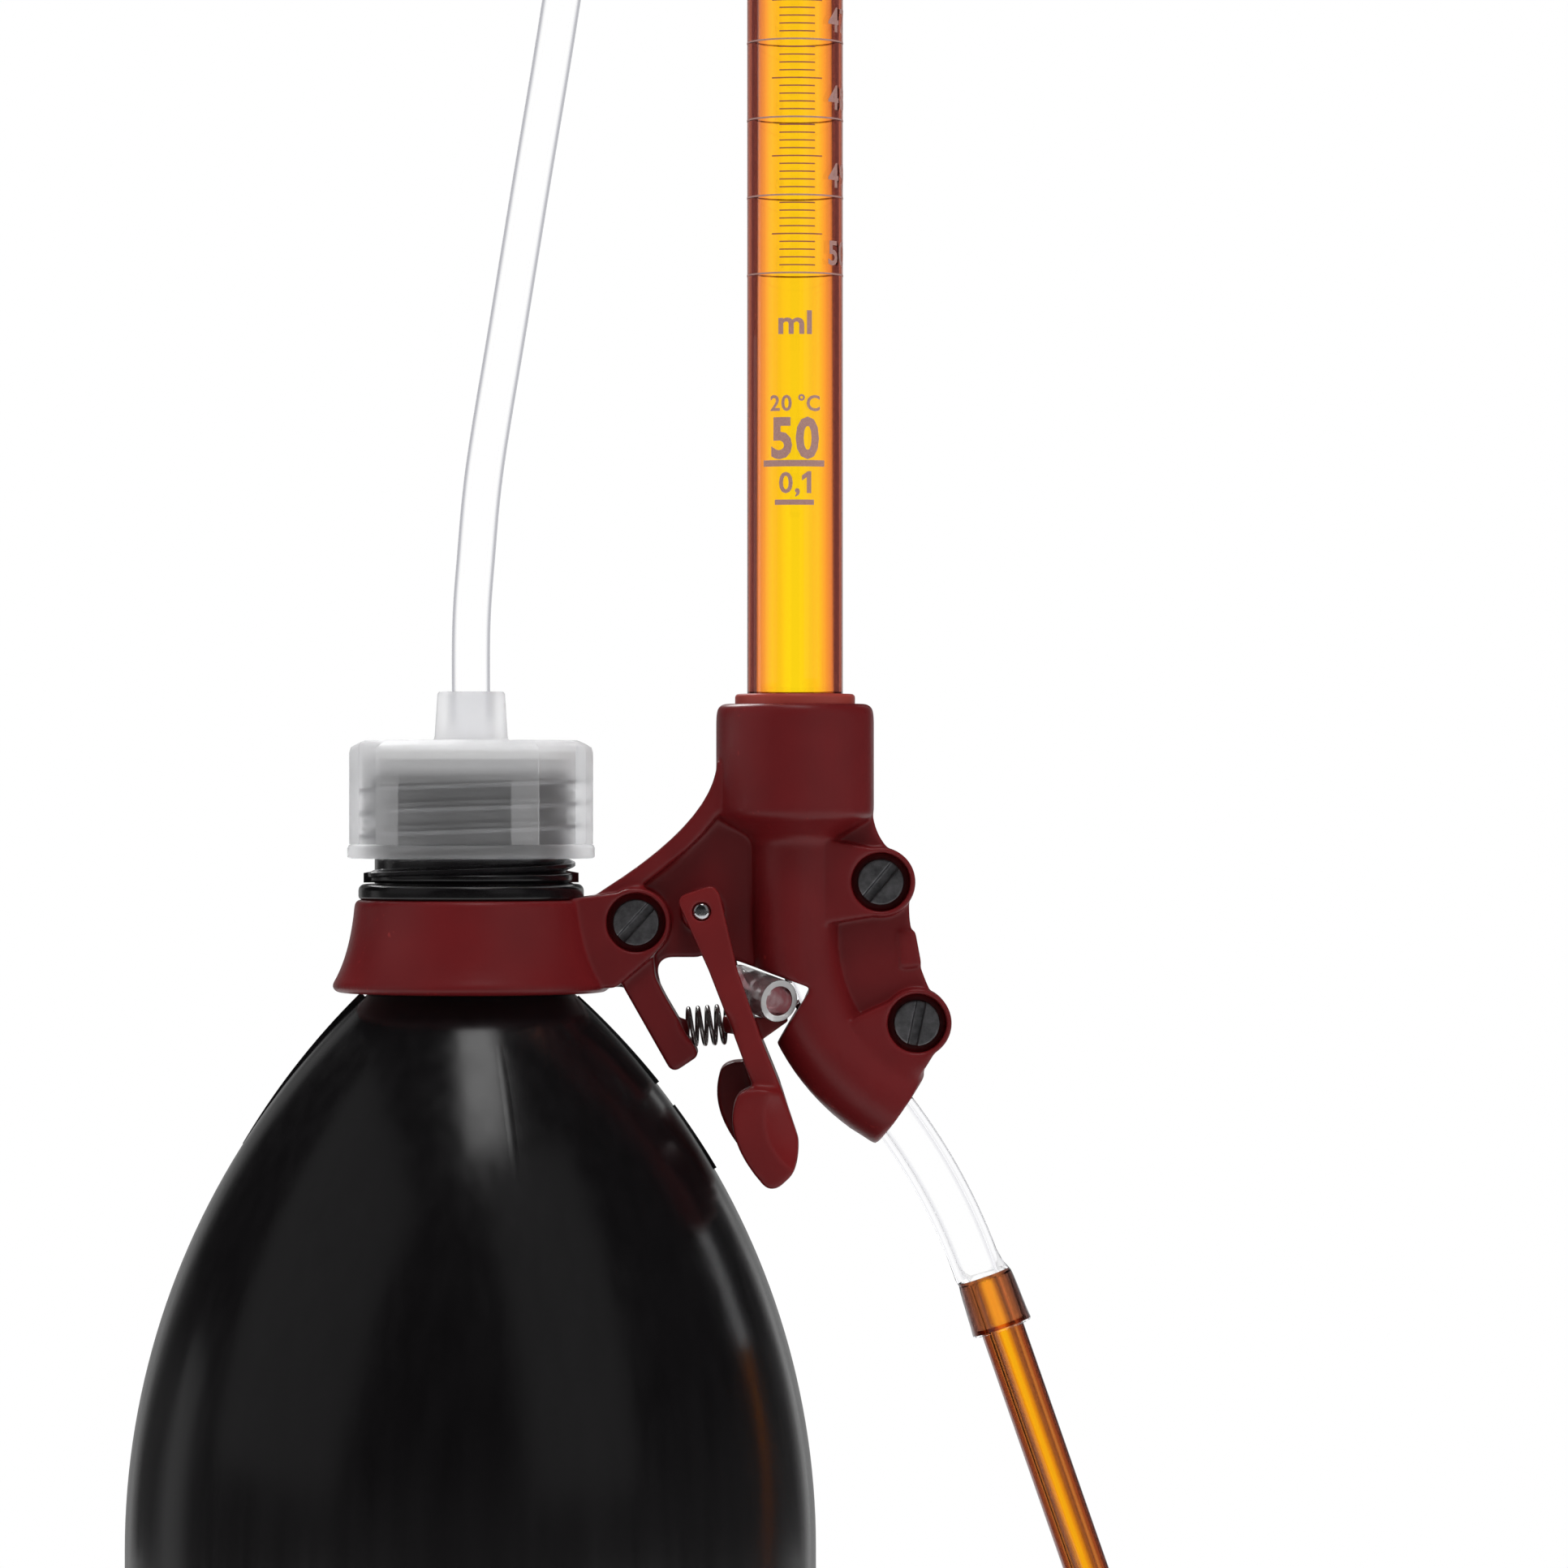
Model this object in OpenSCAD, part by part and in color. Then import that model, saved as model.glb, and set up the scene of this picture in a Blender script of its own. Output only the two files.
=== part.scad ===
// Automatic burette: a squeeze bottle fills the measuring tube and a pinch lever lets the liquid out.
// Millimetres, +Z up, origin in the middle of the bottle's foot, +X from the bottle to the tube.
// The holder's own heights count up from the underside of its collar.

/* [Bottle] */
// Outside diameter of the bottle body
bottle_d = 93.7; // [80:0.1:120]
// Height of the straight wall, up to the start of the shoulder
wall_h = 114; // [80:1:180]
// Thickness of the bottle wall
bottle_wall = 1.3; // [0.8:0.1:3]
// Radius of the shoulder arc
shoulder_r = 102.6; // [85:0.1:140]
// Radius of the bottom edge
foot_r = 6; // [3:0.5:10]
// Width of the flat ring that the bottle stands on
foot_w = 4.5; // [2:0.5:8]
// Depth of the hollow in the base
punt_h = 3; // [1:0.5:6]
// Outside diameter of the neck where the collar sits
neck_d = 27.6; // [24:0.1:32]
// Outside diameter of the bead above the collar
bead_d = 30.6; // [28:0.1:36]
// Height of the bead
bead_h = 2.1; // [1:0.1:4]
// Outside diameter of the cap's seat on the neck, without the thread
finish_d = 26.2; // [24:0.1:30]
// Height of the neck above the bead
finish_h = 16.9; // [12:0.1:24]
// Bore of the neck
mouth_d = 22.4; // [18:0.1:24]

/* [Cap] */
// Outside diameter of the cap between its grip pads
cap_d = 30.6; // [28:0.1:36]
// Height of the cap without its boss
cap_h = 16; // [12:0.1:22]
// Thickness of the cap's top
cap_top = 1.5; // [1:0.1:3]
// Thickness of the cap's side wall
cap_wall = 0.85; // [0.8:0.05:1.5]
// How far the grip pads stand out
pad_out = 1.25; // [0.5:0.05:2]
// Angle that each grip pad covers
pad_angle = 88; // [60:1:100]
// Angle of the first grip pad from +X
pad_turn = -96; // [-180:1:180]
// How far the cap's flange stands out
flange_out = 1.5; // [0.8:0.1:3]
// Height of the cap's flange
flange_h = 1.9; // [1:0.1:3]
// Diameter at the foot of the cap's boss
boss_d = 10; // [9:0.1:14]
// Diameter at the top of the cap's boss
boss_top_d = 9.1; // [8.2:0.1:12]
// Height of the cap's boss
boss_h = 6.6; // [5:0.1:12]
// Thickness of the sealing disc
liner_t = 1.1; // [0.8:0.1:2]
// Lead of the cap's thread
thread_lead = 3; // [2:0.1:4]
// Turns that free the cap
thread_turns = 1.5; // [1:0.1:2]

/* [Dip tube and riser hose] */
// Outside diameter of the dip tube
dip_d = 5; // [4:0.1:5.4]
// Bore of the dip tube
dip_bore = 3.4; // [2:0.1:4]
// Height of the dip tube's open end above the bottle floor
dip_gap = 3; // [1:0.5:8]
// Diameter of the stop ring on the dip tube
dip_ring_d = 9; // [7:0.5:14]
// Outside diameter of the riser hose
riser_d = 5.2; // [4.4:0.1:5.8]
// Bore of the riser hose
riser_bore = 3.2; // [2:0.1:4]
// Depth of the riser hose in the cap's boss
riser_in = 4.2; // [2:0.1:5]

/* [Holder] */
// Distance from the bottle axis to the tube axis
tube_x = 44; // [42:0.1:50]
// Height of the collar
collar_h = 12.6; // [10:0.1:18]
// Outside diameter at the top of the collar
collar_top_d = 31.6; // [30:0.1:38]
// Outside diameter at the foot of the collar
collar_foot_d = 37.6; // [34:0.1:44]
// Play between the collar and the neck, on the radius
collar_play = 0.15; // [0.05:0.05:0.4]
// Half thickness of the web
web_half = 1.5; // [1.2:0.1:3]
// Half thickness of the rim along the top of the arm
rim_half = 4.2; // [3.4:0.1:6]
// Half width across the seats of the lever arms
pivot_half = 6; // [5:0.1:7]
// Half thickness of the clamp boss by the collar
clamp_half = 6.2; // [5:0.1:8]
// Half thickness of the two ears beside the channel
ear_half = 4.6; // [4.5:0.1:7]
// Half thickness of the spring lug
lug_half = 5; // [4:0.1:6]
// Outside diameter of the screw bosses
ear_d = 9.4; // [8.8:0.1:12]
// Diameter of the recess round each screw head
recess_d = 8; // [7:0.1:8.4]
// Outside diameter of the tube socket
socket_d = 21.5; // [20:0.1:26]
// Height of the socket's top
socket_top = 39.2; // [36:0.1:46]
// Height where the socket's straight wall ends
socket_foot = 24.3; // [23:0.1:26]
// Height where the socket's cone meets the channel
cone_foot = 20.6; // [18:0.1:22]
// Outside diameter of the outlet channel
channel_d = 12; // [10:0.1:13]
// Radius of the channel's bend, to its axis
bend_r = 26.3; // [24:0.1:30]
// Height where the channel's bend starts
bend_h = 7.7; // [6:0.1:9]
// Angle of the channel's mouth from upright
bend_end = 55; // [50:1:62]
// Length of the channel's straight end
mouth_l = 3.9; // [2:0.1:6]

/* [Screws] */
// Diameter of the screw shanks
screw_d = 3.4; // [3:0.1:4]
// Diameter of the screw heads
head_d = 6.2; // [5.5:0.1:6.8]
// Height of the screw heads
head_h = 2.4; // [1.5:0.1:3]
// Width of the screw slots
slot_w = 1.3; // [0.6:0.1:1.6]
// Depth of the screw slots
slot_h = 1; // [0.5:0.1:1.4]
// Width of the nuts across flats
nut_w = 6; // [5.5:0.1:7]
// Height of the nuts
nut_h = 2.8; // [2:0.1:3.2]
// Play round the screws and the nuts
screw_play = 0.2; // [0.1:0.05:0.4]

/* [Burette tube] */
// Outside diameter of the measuring tube
tube_d = 13; // [11:0.1:14]
// Wall of the measuring tube
tube_wall = 1; // [0.8:0.1:1.4]
// Volume that the scale covers, in millilitres
scale_ml = 50; // [10:5:60]
// Height of the lowest scale mark above the collar's underside
scale_foot = 97.8; // [80:0.1:120]
// Height of the tube above the zero mark
tube_over = 45; // [40:1:80]
// Diameter of the stem at the tube's lower end
stem_d = 3.4; // [3:0.1:3.6]
// Bore of the stem
stem_bore = 1.8; // [1:0.1:2.2]
// Outside diameter of the bush in the socket
bush_d = 16.3; // [15.8:0.1:17.5]
// How far the bush stands above the socket
bush_out = 1.3; // [0.5:0.1:3]
// Play between tube, bush and socket, on the radius
bush_play = 0.1; // [0.05:0.05:0.2]

/* [Filling head] */
// Outside diameter of the filling head
filler_d = 19; // [18:0.1:24]
// Height of the filling head above the tube
filler_over = 8; // [6:0.5:14]
// Depth of the tube in the filling head
filler_in = 14; // [10:0.5:20]
// Distance from the tube axis to the riser hose
riser_off = 13; // [12.5:0.1:16]
// Outside diameter of the side arm
arm_d = 8.4; // [7:0.1:10]
// Length of the nipple in the riser hose
nipple_h = 9; // [6:0.5:14]
// Outside diameter of the zero capillary
zero_d = 4; // [3:0.1:5]
// Bore of the zero capillary
zero_bore = 1.6; // [1:0.1:2.2]
// Thickness of the ring seal
seal_w = 1.6; // [1:0.1:1.9]

/* [Pinch lever] */
// Diameter of the lever's pin
pin_d = 2.4; // [2:0.1:3]
// Distance from the pin to the tube axis
pin_off = 12.6; // [12:0.1:13.2]
// Height of the pin
pin_h = 11.1; // [10.5:0.1:11.7]
// Running play of the lever on its pin, on the radius
pin_play = 0.05; // [0.02:0.01:0.1]
// Thickness of each lever arm
arm_t = 2.6; // [2:0.1:3.2]
// Gap between a lever arm and the holder
arm_gap = 0.2; // [0.15:0.05:0.3]
// Half width of the lever's nose
nose_half = 2.4; // [1.8:0.1:2.8]
// Width of each finger lobe
lobe_w = 8.6; // [7.5:0.1:9.4]
// How far each finger lobe stands out past its arm
lobe_out = 2.4; // [1.5:0.1:3.2]
// Radius of the hollow in each finger lobe
dish_r = 10.2; // [9.5:0.1:12]
// Radius of the hollow's edge on the lobe's side
dish_edge = 8.3; // [7.8:0.1:8.7]

/* [Spring and spacer] */
// Outside diameter of the spring
spring_d = 5.6; // [5:0.1:6]
// Diameter of the spring wire
wire_d = 0.6; // [0.4:0.05:0.8]
// Number of curls in the spring
curls = 4.5; // [3:0.5:5]
// Outside diameter of the spacer sleeve
spacer_d = 5.8; // [4.6:0.1:5.9]
// Bore of the spacer sleeve
spacer_bore = 4; // [3:0.1:4.4]
// Length of the spacer sleeve
spacer_l = 11.6; // [9:0.1:12]

/* [Outlet hose and jet tip] */
// Outside diameter of the outlet hose
hose_d = 5.6; // [5:0.1:5.8]
// Bore of the outlet hose
hose_bore = 3.6; // [3.5:0.1:4.2]
// Play round the hose in the channel
hose_play = 0.3; // [0.2:0.05:0.5]
// Length of the hose's stretched end on the tip
grip_l = 8; // [6:0.5:14]
// Angle of the tip from upright
tip_lean = 19.2; // [15:0.1:24]
// Outside diameter of the jet tip
tip_d = 5.9; // [5.4:0.1:6.5]
// Bore of the jet tip
tip_bore = 3.5; // [2:0.1:4.2]
// Length of the jet tip
tip_l = 66; // [50:1:100]
// Length of the tip's drawn end
jet_l = 20; // [10:1:30]
// Diameter of the jet's mouth
jet_d = 2; // [1.6:0.1:3]

/* [Hidden] */
$fn = 96;
bottle_r = bottle_d / 2;
neck_r = neck_d / 2;
bead_r = bead_d / 2;
finish_r = finish_d / 2;
punt_edge = bottle_r - foot_r - foot_w;
punt_r = (punt_edge * punt_edge + punt_h * punt_h) / (2 * punt_h);
neck_drop = shoulder_r - bottle_r + neck_r;
neck_z = wall_h + sqrt(shoulder_r * shoulder_r - neck_drop * neck_drop);
bead_z = neck_z + collar_h;
neck_top = bead_z + bead_h + finish_h;
cap_r = cap_d / 2;
cap_top_z = neck_top + liner_t + cap_top;
cap_z = cap_top_z - cap_h;
cap_bore_r = cap_r - cap_wall;
boss_z = cap_top_z + boss_h;
boss_bore_r = riser_d / 2 + 0.3;
cap_lift = thread_lead * thread_turns;
riser_z = boss_z - riser_in;
dip_top = riser_z - cap_lift - 0.3;
dip_foot = punt_h + bottle_wall + dip_gap;
bush_foot = socket_foot + 2.7;
bush_bore_r = tube_d / 2 + bush_play;
bush_r = bush_d / 2;
tube_r = tube_d / 2;
tube_in_r = tube_r - tube_wall;
ml_h = 1000 / (PI * tube_in_r * tube_in_r);
zero_h = scale_foot + scale_ml * ml_h;
tube_top = zero_h + tube_over;
taper_top = bush_foot - 0.5;
taper_foot = cone_foot + 0.2;
hose_r = hose_d / 2;
hose_top = cone_foot - 0.6;
way_r = hose_r + hose_play;
turn_h = pin_h - 0.3;
stem_foot = turn_h + 0.5;
turn_r = 27.6;
turn_a = 39;
run_l = 10;
back_r = 77;
turn_end = [tube_x + turn_r * (1 - cos(turn_a)), turn_h - turn_r * sin(turn_a)];
back_start = turn_end + run_l * [sin(turn_a), -cos(turn_a)];
back_mid = back_start - back_r * [cos(turn_a), sin(turn_a)];
tip_start = back_mid + back_r * [cos(tip_lean), sin(tip_lean)];
bend_mid = [tube_x + bend_r, bend_h];
// Where a straight piece meets a bend it is a little wider and runs on into it
seam_in = 0.04;
seam_l = 0.3;
bend_stop = bend_mid - bend_r * [cos(bend_end), sin(bend_end)];
grip_d = tip_d + 2.2;
arm_in = pivot_half + arm_gap;
arm_out = arm_in + arm_t;
clamp_at = [collar_foot_d / 2 + 3.7, collar_h - 3.05];
ear_at = [[tube_x + 11.6, 15], [tube_x + 16.5, -4.1]];
screw_at = [
    [clamp_at[0], clamp_at[1], clamp_half, 48],
    [ear_at[0][0], ear_at[0][1], ear_half, 50],
    [ear_at[1][0], ear_at[1][1], ear_half, 78]
];
head_drop = 0.9;
pin_at = [tube_x - pin_off, pin_h];
filler_z = tube_top - filler_in;
seal_r = tube_r + 0.05 + seal_w / 2;
filler_bore_r = seal_r + seal_w / 2 + 0.05;
arm_z = tube_top + filler_over / 2;
riser_x = tube_x - riser_off;
riser_top = arm_z - arm_d / 2;
lobe_side = arm_out + lobe_out;
dish_off = sqrt(dish_r * dish_r - dish_edge * dish_edge);
// Ends of the spring, on the lug and on the lever
spring_a = [pin_at[0] - 2.7, pin_h - 15.9];
spring_b = [pin_at[0] + 3.8, pin_h - 15.4];
spring_dir = spring_b - spring_a;
spring_l = norm(spring_dir);
spring_tilt = atan2(spring_dir[1], spring_dir[0]);
spring_end = 0.05;
peg_r = spring_d / 2 - wire_d - 0.8;
peg_l = 1.2;
cut_l = 3 * bottle_d;
// Middle of the spacer and how it leans as it goes back
spacer_at = [tube_x - 5.85, 0.15];
spacer_dir = [-0.6, 1, 0.19];
spacer_front = 6.2;

// Point on a curve with two ends and one control point
function bow(a, b, c, n) =
    [for (i = [0:n]) let (t = i / n) a * (1 - t) * (1 - t) + b * 2 * t * (1 - t) + c * t * t];
// Eased radius between two radii, for glass drawn in a flame
function ease(r0, r1, t) = r0 + (r1 - r0) * (1 - cos(180 * t)) / 2;
// Outline with rounded corners: each point is X, Z and the radius of its corner
function corner(a, b, c) =
    let (u = (a - b) / norm(a - b), v = (c - b) / norm(c - b), half = acos(max(-1, min(1, u * v))) / 2)
    [u, v, half];
function soft(list, n = 5) = [for (i = [0:len(list) - 1])
    let (
        m = len(list),
        a = [list[(i + m - 1) % m][0], list[(i + m - 1) % m][1]],
        b = [list[i][0], list[i][1]],
        c = [list[(i + 1) % m][0], list[(i + 1) % m][1]],
        k = corner(a, b, c),
        r = min(list[i][2], 0.45 * min(norm(a - b), norm(c - b)) * tan(k[2])),
        mid = b + (k[0] + k[1]) / norm(k[0] + k[1]) * r / sin(k[2]),
        p = b + k[0] * r / tan(k[2]) - mid,
        q = b + k[1] * r / tan(k[2]) - mid,
        turn = sign(p[0] * q[1] - p[1] * q[0]) * (180 - 2 * k[2])
    )
    each r < 0.01 ? [b] : [for (j = [0:n])
        let (w = turn * j / n)
        mid + [p[0] * cos(w) - p[1] * sin(w), p[0] * sin(w) + p[1] * cos(w)]]];
function rev(list) = [for (i = [len(list) - 1:-1:0]) list[i]];

// A plate drawn in X and Z, with its middle on the parting plane
module plate(half) {
    rotate([90, 0, 0])
        linear_extrude(2 * half, center = true)
            children();
}

// A ring drawn by its radii and heights
module band(r_in, r_out, z0, z1) {
    rotate_extrude()
        translate([r_in, z0])
            square([r_out - r_in, z1 - z0]);
}

// A bar along Y at a place in X and Z
module across(at, r, y0, y1, sides = 96) {
    translate([at[0], y0, at[1]])
        rotate([-90, 0, 0])
            cylinder(r = r, h = y1 - y0, $fn = sides);
}

// A piece of ring in the X and Z plane, from one angle below -X to another
module hoop(mid, ring_r, r, a0, a1) {
    translate([mid[0], 0, mid[1]])
        rotate([90, 0, 0])
            rotate([0, 0, 180 + a0])
                rotate_extrude(angle = a1 - a0)
                    translate([ring_r, 0])
                        circle(r);
}

// The bottle's half section, moved inwards by the wall for the hollow
module bottle_half(inset) {
    translate([0, inset])
        square([bottle_r - foot_r, wall_h - inset]);
    translate([0, foot_r])
        square([bottle_r - inset, wall_h - foot_r]);
    translate([bottle_r - foot_r, foot_r])
        circle(foot_r - inset);
    intersection() {
        translate([bottle_r - shoulder_r, wall_h])
            circle(shoulder_r - inset, $fn = 256);
        translate([0, wall_h])
            square([bottle_r, neck_z - wall_h]);
    }
}

module bottle() {
    color("#1a1819")
        rotate_extrude() {
            difference() {
                union() {
                    bottle_half(0);
                    translate([0, neck_z - 1])
                        square([neck_r, collar_h + 1.5]);
                    polygon(soft([[0, bead_z, 0], [bead_r, bead_z, 0.5], [bead_r, bead_z + bead_h, 0.9],
                        [0, bead_z + bead_h, 0]]));
                    translate([0, bead_z])
                        square([finish_r, neck_top - bead_z]);
                }
                difference() {
                    bottle_half(bottle_wall);
                    translate([0, punt_h - punt_r])
                        circle(punt_r + bottle_wall, $fn = 256);
                }
                translate([0, neck_z - 3])
                    square([mouth_d / 2, neck_top - neck_z + 4]);
                translate([0, punt_h - punt_r])
                    circle(punt_r, $fn = 256);
                translate([-2 * bottle_r, -1])
                    square([2 * bottle_r, neck_top + 2]);
            }
        }
}

module screw_cap() {
    color("#c9c9cc")
        difference() {
            union() {
                rotate_extrude()
                    polygon(soft([[0, cap_z, 0], [cap_r + flange_out, cap_z, 0.3],
                        [cap_r + flange_out, cap_z + flange_h, 0.6], [cap_r, cap_z + flange_h, 0.3],
                        [cap_r - 0.1, cap_top_z, 0.8], [0, cap_top_z, 0]]));
                for (i = [0:2])
                    rotate([0, 0, pad_turn + 120 * i - pad_angle / 2])
                        rotate_extrude(angle = pad_angle)
                            translate([cap_r - cap_wall / 2, cap_z + flange_h - 0.2])
                                square([pad_out + cap_wall / 2, cap_h - flange_h - 0.4]);
                translate([0, 0, cap_top_z - 0.2])
                    cylinder(r1 = boss_d / 2, r2 = boss_top_d / 2, h = boss_h + 0.2);
            }
            translate([0, 0, cap_z - 1])
                cylinder(r = cap_bore_r, h = cap_h - cap_top + 1);
            translate([0, 0, cap_z])
                cylinder(r = boss_bore_r, h = cap_h + boss_h + 1);
        }
}

module cap_liner() {
    color("#e8e6df")
        band(dip_d / 2 + 0.15, cap_bore_r - 0.3, neck_top, neck_top + liner_t);
}

module dip_tube() {
    color("#dedede")
        union() {
            band(dip_bore / 2, dip_d / 2, dip_foot, dip_top);
            band(dip_bore / 2, dip_ring_d / 2, neck_top - 1.5, neck_top);
        }
}

// Route of the riser hose: share of the height and share of the way to the tube
riser_route = [
    [0, 0], [0.02, 0], [0.035, 0.02], [0.055, 0.06], [0.085, 0.16], [0.115, 0.26],
    [0.155, 0.395], [0.21, 0.56], [0.27, 0.72], [0.335, 0.85], [0.41, 0.94], [0.49, 0.985],
    [0.57, 1], [0.72, 1], [0.86, 1], [1, 1]
];
riser_steps = 3;
riser_span = neck_z + riser_top - riser_z;
function riser_at(i) =
    let (p = riser_route[max(0, min(len(riser_route) - 1, i))])
    [p[1] * riser_x, riser_z + p[0] * riser_span];
function riser_mid(i, t) =
    let (a = riser_at(i - 1), b = riser_at(i), c = riser_at(i + 1), d = riser_at(i + 2))
    0.5 * (2 * b + (c - a) * t + (2 * a - 5 * b + 4 * c - d) * t * t
        + (3 * b - a - 3 * c + d) * t * t * t);
riser_line = concat(
    [for (i = [0:len(riser_route) - 2]) for (j = [0:riser_steps - 1]) riser_mid(i, j / riser_steps)],
    [riser_at(len(riser_route) - 1)]
);
function riser_lean(i) =
    i == 0 || i == len(riser_line) - 1 ? 0 :
    let (d = riser_line[i + 1] - riser_line[i - 1]) atan2(d[0], d[1]);
function riser_rows(r) =
    [for (i = [0:len(riser_line) - 1]) [riser_line[i][0], riser_line[i][1], riser_lean(i), r]];

// A hose in the X and Z plane: each row is X, Z, lean from +Z and radius, outside and then in the bore
hose_sides = 12;
function hose_ring(row) =
    [for (k = [0:hose_sides - 1])
        let (a = 360 * k / hose_sides, u = row[3] * cos(a))
        [row[0] + u * cos(row[2]), row[3] * sin(a), row[1] - u * sin(row[2])]];
function hose_skin(first, rows, flip) =
    [for (i = [0:rows - 2]) for (k = [0:hose_sides - 1])
        let (n = hose_sides, a = first + i * n + k, b = first + i * n + (k + 1) % n)
        each flip ? [[a, b, a + n], [b, b + n, a + n]] : [[a, a + n, b], [b, a + n, b + n]]];
function hose_end(a, b, flip) =
    [for (k = [0:hose_sides - 1])
        let (j = (k + 1) % hose_sides)
        each flip ? [[a + k, b + k, a + j], [a + j, b + k, b + j]]
            : [[a + k, a + j, b + k], [a + j, b + j, b + k]]];

module hose(outer, inner) {
    n = hose_sides;
    o = len(outer) * n;
    points = [for (row = concat(outer, inner)) each hose_ring(row)];
    faces = concat(
        hose_skin(0, len(outer), false),
        hose_skin(o, len(inner), true),
        hose_end(0, o, false),
        hose_end(o - n, o + (len(inner) - 1) * n, true)
    );
    polyhedron(points, faces);
}

module riser_hose() {
    color("#e6e6ea")
        hose(riser_rows(riser_d / 2), riser_rows(riser_bore / 2));
}

// Collar section: flared towards the shoulder
module collar_half() {
    polygon(concat(
        [[0, 0], [collar_foot_d / 2 - 0.6, 0], [collar_foot_d / 2, 0.6]],
        bow([collar_foot_d / 2, 1.1], [collar_top_d / 2 + 0.6, 0.4 * collar_h],
            [collar_top_d / 2, collar_h - 0.5], 8),
        [[collar_top_d / 2 - 0.5, collar_h], [0, collar_h]]
    ));
}

// Top edge of the arm, from the collar up to the socket
socket_side = tube_x - socket_d / 2;
arm_foot = [collar_top_d / 2, collar_h - 0.1];
arm_turn = arm_foot + [5, 3.3];
arm_edge = concat([arm_foot], bow(arm_turn, [socket_side, 24.3], [socket_side + 0.2, 31.5], 10));
rim_edge = concat([arm_foot + [0.6, -3.2]],
    bow(arm_turn + [1, -2.4], [socket_side + 1.2, 22.4], [socket_side + 2.2, 28], 10));

module rim_face() {
    polygon(concat(arm_edge, rev(rim_edge)));
}

notch_top = [tube_x - 8, 4.3];
notch_tip = [tube_x + 2.1, 0.7];
notch_foot = [tube_x - 2.9, -7.6];
gap_h = 4.75;
gap_side = tube_x - 19.1;
ear_r = ear_d / 2;

module web_face() {
    polygon(concat(
        arm_edge,
        [[tube_x + 6, 30]],
        bow([tube_x + socket_d / 2 - 0.3, socket_foot + 0.8], [tube_x + 10.7, 20.6], ear_at[0] + [2.4, 3.4], 6),
        bow(ear_at[0] + [4, -1.3], [tube_x + 14.9, 7.4], ear_at[1] + [2.2, 3.5], 8),
        [ear_at[1] + [3.8, -1.9], bend_stop + [5.6, 2.2]],
        [[tube_x + 10, -12], notch_tip, notch_top],
        soft([[notch_top[0] - 0.2, gap_h, 0.5], [gap_side, gap_h, 2.6], [gap_side + 1.1, 0, 1], [gap_side - 2, -3, 0],
            [gap_side - 3.4, 0.7, 0], [collar_foot_d / 2 - 2, 0.7, 0], [collar_foot_d / 2 - 3.5, 6, 0]])
    ));
}

module lug_face() {
    polygon(soft([
        [gap_side - 0.1, 6, 0], [gap_side + 0.2, 2.2, 1.5], [gap_side + 1.5, -0.4, 1], [gap_side + 6.2, -8.4, 0.8],
        [gap_side + 2.5, -10.9, 1], [gap_side - 4.2, 0.9, 1], [gap_side - 3.4, 6, 0]
    ]));
}

module clamp_face() {
    translate(clamp_at)
        circle(d = ear_d);
    polygon(soft([
        [arm_foot[0] - 6, arm_foot[1] - 0.2, 0], [clamp_at[0] - 0.8, clamp_at[1] + 4.2, 0],
        [clamp_at[0] + 3.6, clamp_at[1] - 3, 0], [clamp_at[0] + 2.2, clamp_at[1] - 4.6, 0],
        [collar_foot_d / 2 + 0.9, 0.7, 1.2], [arm_foot[0] - 6, 0.7, 0]
    ]));
}

// Screw ears, each on a tongue that grows out of the channel
module ear_face() {
    for (p = ear_at)
        translate(p)
            circle(d = ear_d);
    polygon([[tube_x + 1.2, cone_foot + 0.7], ear_at[0] + [0.8, 4.3], ear_at[0] + [0.8, -4.3],
        [tube_x + 1.2, 8.8]]);
    polygon([[tube_x + 4.6, -5.6], [tube_x + 8.3, -3.2], ear_at[1] + [-1.6, 3.9], ear_at[1] + [3.4, -2.4],
        bend_stop + [5.2, 1.7], bend_stop + [2, 3]]);
}

// Small step on the edge between the ears
module step_face() {
    polygon(soft([[tube_x + 13.9, 8.4, 0.4], [tube_x + 16.3, 8.4, 0.4], [tube_x + 17.2, 3.6, 0.4], [tube_x + 14.3, 3.3, 0.4]]));
}

// Socket section: a rounded rim, and a waist that runs into the channel
module socket_half() {
    r = socket_d / 2;
    polygon(concat(
        [[0, bend_h - seam_l], [channel_d / 2, bend_h - seam_l]],
        bow([channel_d / 2, cone_foot - 1], [channel_d / 2, cone_foot + 0.4], [channel_d / 2 + 1.2, cone_foot + 1.1], 5),
        bow([r - 0.9, socket_foot - 1], [r, socket_foot - 0.5], [r, socket_foot + 0.5], 5),
        bow([r, socket_top - 1.3], [r, socket_top], [r - 1.3, socket_top], 4),
        [[0, socket_top]]
    ));
}

// Space for the outlet hose, with its play
module hose_way() {
    hoop([tube_x + turn_r, turn_h], turn_r, way_r, 0, turn_a);
    translate([turn_end[0], 0, turn_end[1]])
        rotate([0, 180 - turn_a, 0])
            translate([0, 0, -seam_l])
                cylinder(r = way_r + seam_in, h = 2 * run_l);
}

module spring_axis() {
    translate([spring_a[0], 0, spring_a[1]])
        rotate([0, 90 - spring_tilt, 0])
            children();
}

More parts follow.
